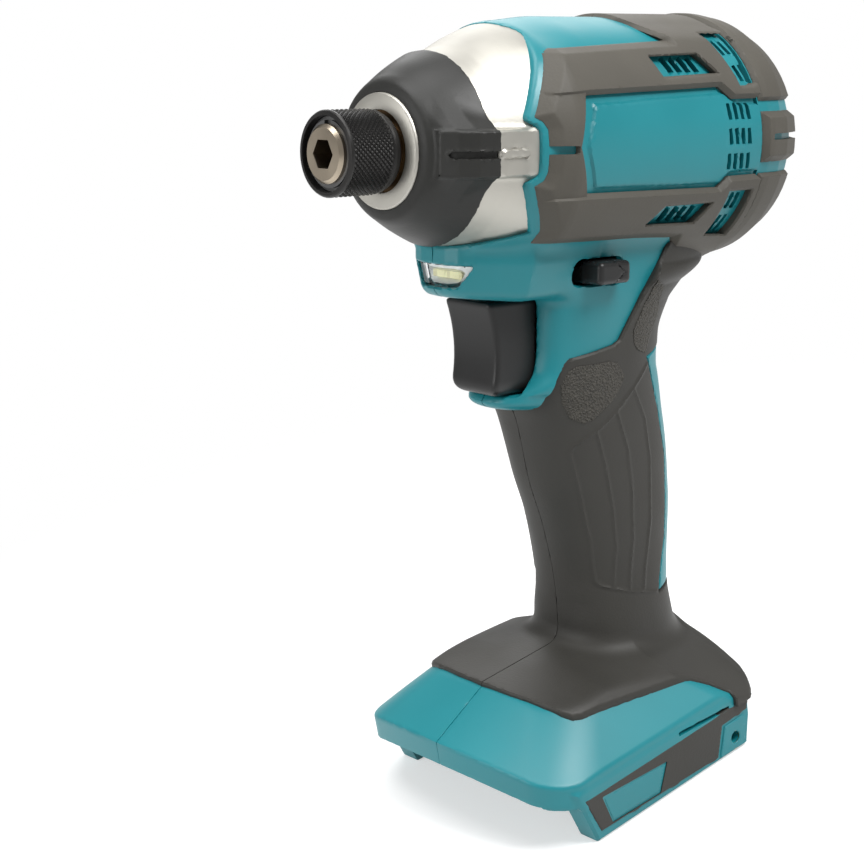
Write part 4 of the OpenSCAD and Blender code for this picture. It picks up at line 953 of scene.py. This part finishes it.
def finish(name, color, rough, effect, values, metal, depth, strength, drift, constants=(), gloss=0.06):
    """A procedural finish: colour and roughness that drift over the surface, and a bump of a depth in microns."""
    mat = bpy.data.materials.new(name)
    t = blank_tree(mat)
    fx = shade(t, "Group", values, node_tree=effect).outputs
    dark, light = [max(c * (1 - drift), 0) for c in color], [min(c * (1 + drift), 1) for c in color]
    tint = shade(t, "Mix", {0: fx["Drift"], 6: (*dark, 1), 7: (*light, 1)}, data_type="RGBA")
    sheen = shade(t, "MapRange", {"Value": fx["Drift"], "To Min": max(rough - gloss, 0.02), "To Max": rough + gloss})
    bump = shade(t, "Bump", {"Height": fx["Height"], "Strength": strength, "Distance": depth / MICRONS})
    shader = shade(t, "BsdfPrincipled", {"Metallic": metal, "Base Color": tint.outputs[2], "Roughness": sheen, "Normal": bump,
                                         **dict(constants)})
    shade(t, "OutputMaterial", {"Surface": shader})
    mat.diffuse_color = (*color, 1)
    return mat


def linear(color):
    return [c / 12.92 if c <= 0.04045 else ((c + 0.055) / 1.055) ** 2.4 for c in color]


# Textures, and what some finishes set on the shader besides
FINE = {"Grain Scale": 1800.0, "Drift Scale": 35.0, "Pits": 0.3}
SOFT = {"Grain Scale": 1500.0, "Drift Scale": 50.0, "Pits": 0.7}
CAST = {"Grain Scale": 1400.0, "Drift Scale": 90.0, "Pits": 0.25}
STIPPLE = {"Grain Scale": 1600.0, "Drift Scale": 700.0, "Pits": 0.9}
TURNED = {"Line Scale": (6000.0, 150.0, 150.0), "Drift Scale": 60.0}
DULL = {"Specular IOR Level": 0.35}
CLEAR = {"Transmission Weight": 1.0, "IOR": 1.25}
MICRONS = 1e6  # in a metre


def make_finishes(c):
    """Each finish: key, name, colour, roughness, texture, metal, the bump's depth in microns and its strength, colour drift."""
    grain, lines = grain_group(), machined_group()
    patch = [(a + b) / 2 for a, b in zip(c.grip, c.pad)]
    for key, name, color, rough, texture, *rest in (
            ("teal", "teal_housing", c.teal, 0.42, FINE, 0, 40, 0.25, 0.05),
            # The grip and the pads are one overmould in two greys: partly painted shade on the grip under the head,
            # partly painted light on the head's pads, partly their own tones
            ("grip", "grey_overmould", c.grip, 0.55, SOFT, 0, 80, 0.35, 0.1, DULL),
            ("pad", "grey_pads", c.pad, 0.6, SOFT, 0, 80, 0.35, 0.08, DULL),
            ("stipple", "stippled_patch", patch, 0.6, STIPPLE, 0, 700, 1.0, 0.2, DULL),
            ("bumper", "nose_rubber", c.bumper, 0.46, SOFT, 0, 60, 0.25, 0.1, DULL),
            ("case", "cast_alloy", c.case, 0.5, CAST, 1, 60, 0.35, 0.06),
            ("sleeve", "black_oxide", (0.035, 0.034, 0.033), 0.36, TURNED, 0.8, 20, 0.2, 0.2),
            ("anvil", "anvil_steel", (0.42, 0.36, 0.28), 0.3, TURNED, 1, 20, 0.2, 0.1),
            ("steel", "machined_steel", (0.5, 0.5, 0.49), 0.28, TURNED, 1, 20, 0.2, 0.08),
            ("dark_steel", "blackened_steel", (0.16, 0.16, 0.16), 0.36, TURNED, 1, 20, 0.2, 0.08),
            # Bronze darkened past its own colour: painted shade where the bush lies in the shadow under the sleeve
            ("bronze", "sintered_bronze", (0.16, 0.1, 0.05), 0.5, CAST, 1, 50, 0.3, 0.08),
            ("nylon", "nylon", (0.74, 0.7, 0.6), 0.5, FINE, 0, 50, 0.3, 0.08),
            ("black", "black_plastic", (0.013, 0.013, 0.013), 0.36, FINE, 0, 40, 0.2, 0.15, DULL),
            ("magnet", "ferrite", (0.03, 0.03, 0.032), 0.6, CAST, 0, 50, 0.3, 0.08),
            ("copper", "copper", (0.6, 0.25, 0.12), 0.3, TURNED, 1, 50, 0.3, 0.08),
            ("board", "circuit_board", (0.7, 0.66, 0.4), 0.5, FINE, 0, 50, 0.3, 0.08),
            ("terminal", "terminal_plastic", (0.6, 0.42, 0.05), 0.45, FINE, 0, 50, 0.3, 0.08),
            ("lead", "lead_sheath", (0.015, 0.015, 0.015), 0.5, FINE, 0, 50, 0.3, 0.08),
            ("brass_nut", "brass", (0.6, 0.44, 0.14), 0.35, TURNED, 1, 50, 0.3, 0.08),
            ("tray", "lamp_reflector", (0.7, 0.71, 0.7), 0.3, FINE, 1, 10, 0.1, 0.03),
            ("chip", "lamp_chip", (0.86, 0.82, 0.5), 0.4, FINE, 0, 20, 0.3, 0.05),
            ("lens", "clear_lens", (0.92, 0.94, 0.94), 0.06, FINE, 0, 10, 0.05, 0.02, CLEAR, 0.02)):
        effect = lines if texture is TURNED else grain
        FINISHES[key] = finish(name, color, rough, effect, texture, *rest)


# Sizes and colours that a user would change

def colour(name, what, rgb):
    return bpy.props.FloatVectorProperty(name=name, description="Colour of the " + what, subtype="COLOR", default=linear(rgb),
                                         min=0, max=1)


class DriverColours(bpy.types.PropertyGroup):
    teal: colour("Housing", "moulded housing", (0.06, 0.47, 0.505))
    # One overmould in two greys: the grip's darker grey is partly painted shade under the head, the pads' lighter grey
    # partly painted light on the head, the rest their own tones
    grip: colour("Overmould", "soft overmould", (0.195, 0.19, 0.176))
    pad: colour("Pads", "head's pads", (0.30, 0.288, 0.262))
    bumper: colour("Nose rubber", "nose bumper", (0.13, 0.13, 0.122))
    case: colour("Hammer case", "cast hammer case", (0.72, 0.71, 0.68))


class DriverSizes(bpy.types.PropertyGroup):
    shell_cell: bpy.props.FloatProperty(name="Shell fineness", description="Grid of the moulded shells, in millimetres",
                                        default=0.7, min=0.3, max=2)
    knurl_rows: bpy.props.IntProperty(name="Knurl rows", description="Rows of points along the sleeve", default=17, min=4, max=40)
    knurl_columns: bpy.props.IntProperty(name="Knurl columns", description="Points round the sleeve", default=50, min=12, max=120)
    trim_cell: bpy.props.FloatProperty(name="Trim fineness", description="Grid of the pads and small pieces, in millimetres",
                                       default=0.5, min=0.25, max=2)


def sizes():
    return bpy.context.scene.driver_sizes


# The camera, its focal length in the photo's pixels, and the lamps: name, place, size and power
PHOTO_SIDE, FOCAL, SENSOR = 864, 1845, 36
EYE, EYE_RIGHT, EYE_UP = (0.3121, 0.3366, 0.2554), Vector((-0.7438, 0.6494, -0.1581)), Vector((-0.3354, -0.1581, 0.9287))
LAMPS = (("key", (-0.2, 0.6, 0.95), 0.5, 12.0), ("front", (1.0, -0.25, 0.5), 0.7, 5.0),
         ("top", (0.1, -0.1, 1.1), 0.7, 6.0), ("back", (-0.6, -0.6, 0.6), 0.7, 3.0))
AIM = Vector((0.01, 0, 0.1))
WHITE = (1, 1, 1, 1)


class DRIVER_OT_stage(bpy.types.Operator):
    """Floor, soft light and the camera"""
    bl_idname = "driver.stage"
    bl_label = "Stage"

    def execute(self, context):
        scene = context.scene
        scene.view_settings.view_transform = "Standard"
        make_floor()
        make_light(scene)
        cam = bpy.data.cameras.new("camera")
        cam.sensor_width = SENSOR
        cam.lens = FOCAL / PHOTO_SIDE * SENSOR
        cam.clip_end = 20
        eye = bpy.data.objects.new("camera", cam)
        scene.collection.objects.link(eye)
        axes = Matrix((EYE_RIGHT, EYE_UP, EYE_RIGHT.cross(EYE_UP))).transposed()
        eye.matrix_world = Matrix.Translation(EYE) @ axes.to_4x4()
        scene.camera = eye
        return {"FINISHED"}


def seen_by(t, first, *kinds):
    """One for the rays of the given kinds, nought for others."""
    rays = shade(t, "LightPath").outputs
    seen = rays[first]
    for kind in kinds:
        seen = sums(t, "MAXIMUM", seen, rays[kind])
    return seen


def make_floor():
    """A floor that takes shadows near the tool and is plain white farther off."""
    bm = bmesh.new()
    bmesh.ops.create_grid(bm, x_segments=2, y_segments=2, size=3)
    mesh = bpy.data.meshes.new("floor")
    bm.to_mesh(mesh)
    bm.free()
    floor = bpy.data.objects.new("floor", mesh)
    floor.location.z = -0.0002
    bpy.context.scene.collection.objects.link(floor)
    mat = bpy.data.materials.new("pale_floor")
    t = blank_tree(mat)
    matt = shade(t, "BsdfDiffuse", {"Color": (0.6, 0.6, 0.6, 1)})
    glow = shade(t, "Emission", {"Color": WHITE, "Strength": 0.5})
    lit = shade(t, "AddShader", {0: matt, 1: glow})
    white = shade(t, "Emission", {"Color": WHITE, "Strength": 1.0})
    far = shade(t, "VectorMath", {0: shade(t, "TexCoord").outputs["Object"]}, operation="LENGTH").outputs["Value"]
    fade = shade(t, "MapRange", {"Value": far, "From Min": 0.12, "From Max": 0.3}, interpolation_type="SMOOTHSTEP")
    both_ways = shade(t, "MixShader", {0: fade, 1: lit, 2: white})
    seen = seen_by(t, "Is Camera Ray", "Is Glossy Ray", "Is Transmission Ray")
    shade(t, "OutputMaterial", {"Surface": shade(t, "MixShader", {0: seen, 1: matt, 2: both_ways})})
    mesh.materials.append(mat)


def make_light(scene):
    scene.world = bpy.data.worlds.new("studio")
    t = blank_tree(scene.world)
    seen = seen_by(t, "Is Camera Ray", "Is Transmission Ray")
    fill = shade(t, "Background", {"Color": WHITE, "Strength": 0.36})
    white = shade(t, "Background", {"Color": WHITE, "Strength": 1.0})
    shade(t, "OutputWorld", {"Surface": shade(t, "MixShader", {0: seen, 1: fill, 2: white})})
    for name, place, size, power in LAMPS:
        lamp = bpy.data.lights.new(name, "AREA")
        lamp.shape = "DISK"
        lamp.size = size
        lamp.energy = power
        o = bpy.data.objects.new(name, lamp)
        scene.collection.objects.link(o)
        o.location = place
        o.rotation_euler = (AIM - Vector(place)).to_track_quat("-Z", "Y").to_euler()


class DRIVER_OT_solids(bpy.types.Operator):
    """Finishes of the pieces whose solids already have the right shape"""
    bl_idname = "driver.solids"
    bl_label = "Solids"

    def execute(self, context):
        make_finishes(context.scene.driver_colours)
        for entry in frame["record"]["subparts"]:
            mesh = NODES[entry["node"]].data
            mesh.materials.clear()
            mesh.materials.append(FINISHES[entry["material_slot"]])
            mesh.set_sharp_from_angle(angle=math.radians(30))
        return {"FINISHED"}


class DRIVER_OT_housing(bpy.types.Operator):
    """The two halves of the moulded housing"""
    bl_idname = "driver.housing"
    bl_label = "Housing"

    def execute(self, context):
        for name, side, y0, y1 in twins(-0.5, 40):
            build("housing_shell_" + name, half(housing, side), (-60, y0, -1), (67, y1, 200), sizes().shell_cell, "teal",
                  ["housing_" + name])
        return {"FINISHED"}


class DRIVER_OT_grips(bpy.types.Operator):
    """The soft skins of the grip and the head"""
    bl_idname = "driver.grips"
    bl_label = "Grips"

    def execute(self, context):
        cell = sizes().trim_cell
        for name, side, y0, y1 in twins(-0.5, 40):
            build("grip_skin_" + name, half(grip, side), (-50, y0, 11), (52, y1, 150), cell, "grip", ["grip_" + name])
            build("head_skin_" + name, half(head_pad, side), (-60, y0, 120), (45, y1, 202), cell, "pad", ["head_pad_" + name],
                  "grip")
        return {"FINISHED"}


class DRIVER_OT_rear(bpy.types.Operator):
    """The rear cover and its soft bumpers"""
    bl_idname = "driver.rear"
    bl_label = "Rear cover"

    def execute(self, context):
        cell = sizes().trim_cell
        build("rear_cup", rear_cover, (-74, -33, 118), (-34, 33, 192), cell, "teal", ["rear_cover"])
        for name, form, y0, y1 in (("top", rear_top, -34, 34), ("bottom", rear_bottom, -34, 34), ("left", rear_side, 15, 36),
                                   ("right", rear_side, -36, -15)):
            build("rear_guard_" + name, form, (-76, y0, 112), (-34, y1, 196), cell, "pad", ["rear_bumper_" + name], "grip")
        return {"FINISHED"}


class DRIVER_OT_nose(bpy.types.Operator):
    """The cast hammer case and the rubber bumper over it"""
    bl_idname = "driver.nose"
    bl_label = "Nose"

    def execute(self, context):
        cell = sizes().trim_cell
        build("cast_case", hammer_case, (-10, -32, 128), (60, 32, 206), cell * 1.2, "case", ["hammer_case"])
        build("nose_guard", nose_bumper, (28, -30, 138), (58, 30, 204), cell, "bumper", ["nose_bumper"])
        face = lathe("case_face", [[51, 9.7], [52.2, 9.7], [52.2, 13.1], [51.9, 13.5], [51, 13.6]])
        dress("case_face", face, "case", sharp=60)
        return {"FINISHED"}


class DRIVER_OT_spring(bpy.types.Operator):
    """The hammer's spring, which rides on the spindle"""
    bl_idname = "driver.spring"
    bl_label = "Hammer spring"

    def execute(self, context):
        spring = coil("hammer_coil", -0.5, 18.9, 13.4, 1.4, 4)
        spring = dress("hammer_coil", spring, "steel", ["hammer_spring"], body="spindle")
        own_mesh(spring)
        return {"FINISHED"}


# The sleeve's section, as places along the drive axis and radii
SLEEVE = [[67.9, 8.7], [67.9, 9.4], [67.7, 9.72], [67.3, 9.95], [67.0, 9.95], [66.8, 9.5], [55.3, 9.5], [55.1, 9.7], [54.5, 9.75],
          [54.2, 9.3], [53.2, 9.2], [52.75, 8.9], [52.75, 8.32], [57.0, 8.32], [57.0, 8.66], [67.4, 8.66]]


class DRIVER_OT_sleeve(bpy.types.Operator):
    """The knurled sleeve of the bit holder"""
    bl_idname = "driver.sleeve"
    bl_label = "Sleeve"

    def execute(self, context):
        points = grown("sleeve_points", knurl_tree(), {
            "Rows": sizes().knurl_rows, "Columns": sizes().knurl_columns, "Start": 55.9, "Length": 10.5, "Radius": 9.45,
            "Height": 0.5, "Material": FINISHES["sleeve"]})
        points.transform(TOOL)
        mesh = joined("knurled_sleeve", [lathe("sleeve_ring", SLEEVE), points])
        dress("knurled_sleeve", mesh, "sleeve", ["bit_sleeve"], body="sleeve", sharp=24)
        return {"FINISHED"}


class DRIVER_OT_controls(bpy.types.Operator):
    """The trigger and the reversing lever"""
    bl_idname = "driver.controls"
    bl_label = "Controls"

    def execute(self, context):
        cell = sizes().trim_cell
        build("trigger_shell", trigger, (14, -10, 92), (44, 10, 136), cell, "black", ["trigger"], body="trigger")
        build("lever_bar", lever, (-12, -30, 122), (18, 30, 142), cell * 0.8, "black", ["reverse_lever"], body="lever")
        return {"FINISHED"}


# Grids of the smallest pieces, in mm
LENS_CELL, CHIP_CELL, INSERT_CELL, HOOK_CELL, PATCH_CELL = 0.35, 0.25, 0.4, 0.35, 0.3


class DRIVER_OT_lamp(bpy.types.Operator):
    """The lamp's lens, its bright tray and its two chips"""
    bl_idname = "driver.lamp"
    bl_label = "Lamp"

    def execute(self, context):
        lo, hi = (28, -14, 132), (48, 14, 152)
        build("lamp_lens", lens, lo, hi, LENS_CELL, "lens", ["led_lens"])
        build("lamp_tray", reflector, lo, hi, LENS_CELL, "tray", slot="steel")
        build("lamp_chips", lamp_chips, lo, hi, CHIP_CELL, "chip", slot="board")
        return {"FINISHED"}


class DRIVER_OT_foot(bpy.types.Operator):
    """The inserts, bare plates and hook flats of the foot's skirts"""
    bl_idname = "driver.foot"
    bl_label = "Foot"

    def execute(self, context):
        for name, _, y0, y1 in twins(35, 41):
            lo, hi = (-12, y0, -1), (56, y1, 16)
            build("foot_insert_" + name, foot_insert, lo, hi, INSERT_CELL, "grip", ["foot_pad_" + name])
            build("foot_plate_" + name, foot_plate, lo, hi, INSERT_CELL, "teal")
            build("hook_flat_" + name, hook_plate, lo, hi, HOOK_CELL, "teal")
        return {"FINISHED"}


class DRIVER_OT_thumb(bpy.types.Operator):
    """The stippled patches under the thumb"""
    bl_idname = "driver.thumb"
    bl_label = "Thumb patches"

    def execute(self, context):
        for name, _, y0, y1 in twins(8, 26):
            build("thumb_patch_" + name, thumb_patch, (-18, y0, 92), (22, y1, 130), PATCH_CELL, "stipple", slot="grip", sharp=70)
        return {"FINISHED"}


# Seats of the housing's screws: those given on the tool's own scale, and those on the standing frame
TIPPED_SCREWS = ((20.5, 139), (-29, 134.4), (-22, 104))
LEVEL_SCREWS = ((-4, 62), (-4.5, 39.5), (46, 23.6))
SCREW_SEAT = -11


class DRIVER_OT_screws(bpy.types.Operator):
    """The screws of the housing and of the rear cover"""
    bl_idname = "driver.screws"
    bl_label = "Screws"

    def execute(self, context):
        tree = screw_tree()
        at = [TOOL @ Vector((x, SCREW_SEAT, z - RISE)) * MM for x, z in TIPPED_SCREWS]
        at += [Vector((x, SCREW_SEAT, z)) for x, z in LEVEL_SCREWS]
        for name, node, turn, shank, points, place in (
                ("side_screws", "housing_screws", (math.pi / 2, 0, 0), 18.5, at, Matrix.Scale(1 / MM, 4)),
                ("rear_screws", "rear_cover_screws", (0, -math.pi / 2, 0), 15.0, [(-66.1, y, 0) for y in (-15, 15)], TOOL)):
            mesh = grown(name, tree, {"Turn": turn, "Shank": shank, "Material": FINISHES["dark_steel"]}, points)
            mesh.transform(place)
            dress(name, mesh, "dark_steel", [node], sharp=30)
        return {"FINISHED"}


class DRIVER_PT_panel(bpy.types.Panel):
    """Lists the steps that dress the driver, with its sizes and colours"""
    bl_idname = "DRIVER_PT_panel"
    bl_label = "Impact Driver"
    bl_space_type = "VIEW_3D"
    bl_region_type = "UI"
    bl_category = "Impact Driver"

    def draw(self, context):
        for settings in (context.scene.driver_sizes, context.scene.driver_colours):
            for key in settings.bl_rna.properties.keys():
                if key not in ("rna_type", "name"):
                    self.layout.prop(settings, key)
        for step in STEPS:
            self.layout.operator(step.bl_idname)


STEPS = (DRIVER_OT_stage, DRIVER_OT_solids, DRIVER_OT_housing, DRIVER_OT_grips, DRIVER_OT_rear, DRIVER_OT_nose, DRIVER_OT_spring,
         DRIVER_OT_sleeve, DRIVER_OT_controls, DRIVER_OT_lamp, DRIVER_OT_foot, DRIVER_OT_thumb, DRIVER_OT_screws)
CLASSES = (DriverColours, DriverSizes, DRIVER_PT_panel) + STEPS


def register():
    for c in CLASSES:
        bpy.utils.register_class(c)
    bpy.types.Scene.driver_sizes = bpy.props.PointerProperty(type=DriverSizes)
    bpy.types.Scene.driver_colours = bpy.props.PointerProperty(type=DriverColours)


def unregister():
    del bpy.types.Scene.driver_sizes, bpy.types.Scene.driver_colours
    for c in reversed(CLASSES):
        bpy.utils.unregister_class(c)


def main():
    register()
    for step in STEPS:
        group_name, call = step.bl_idname.split(".")
        getattr(getattr(bpy.ops, group_name), call)()


if __name__ == "__main__":
    main()
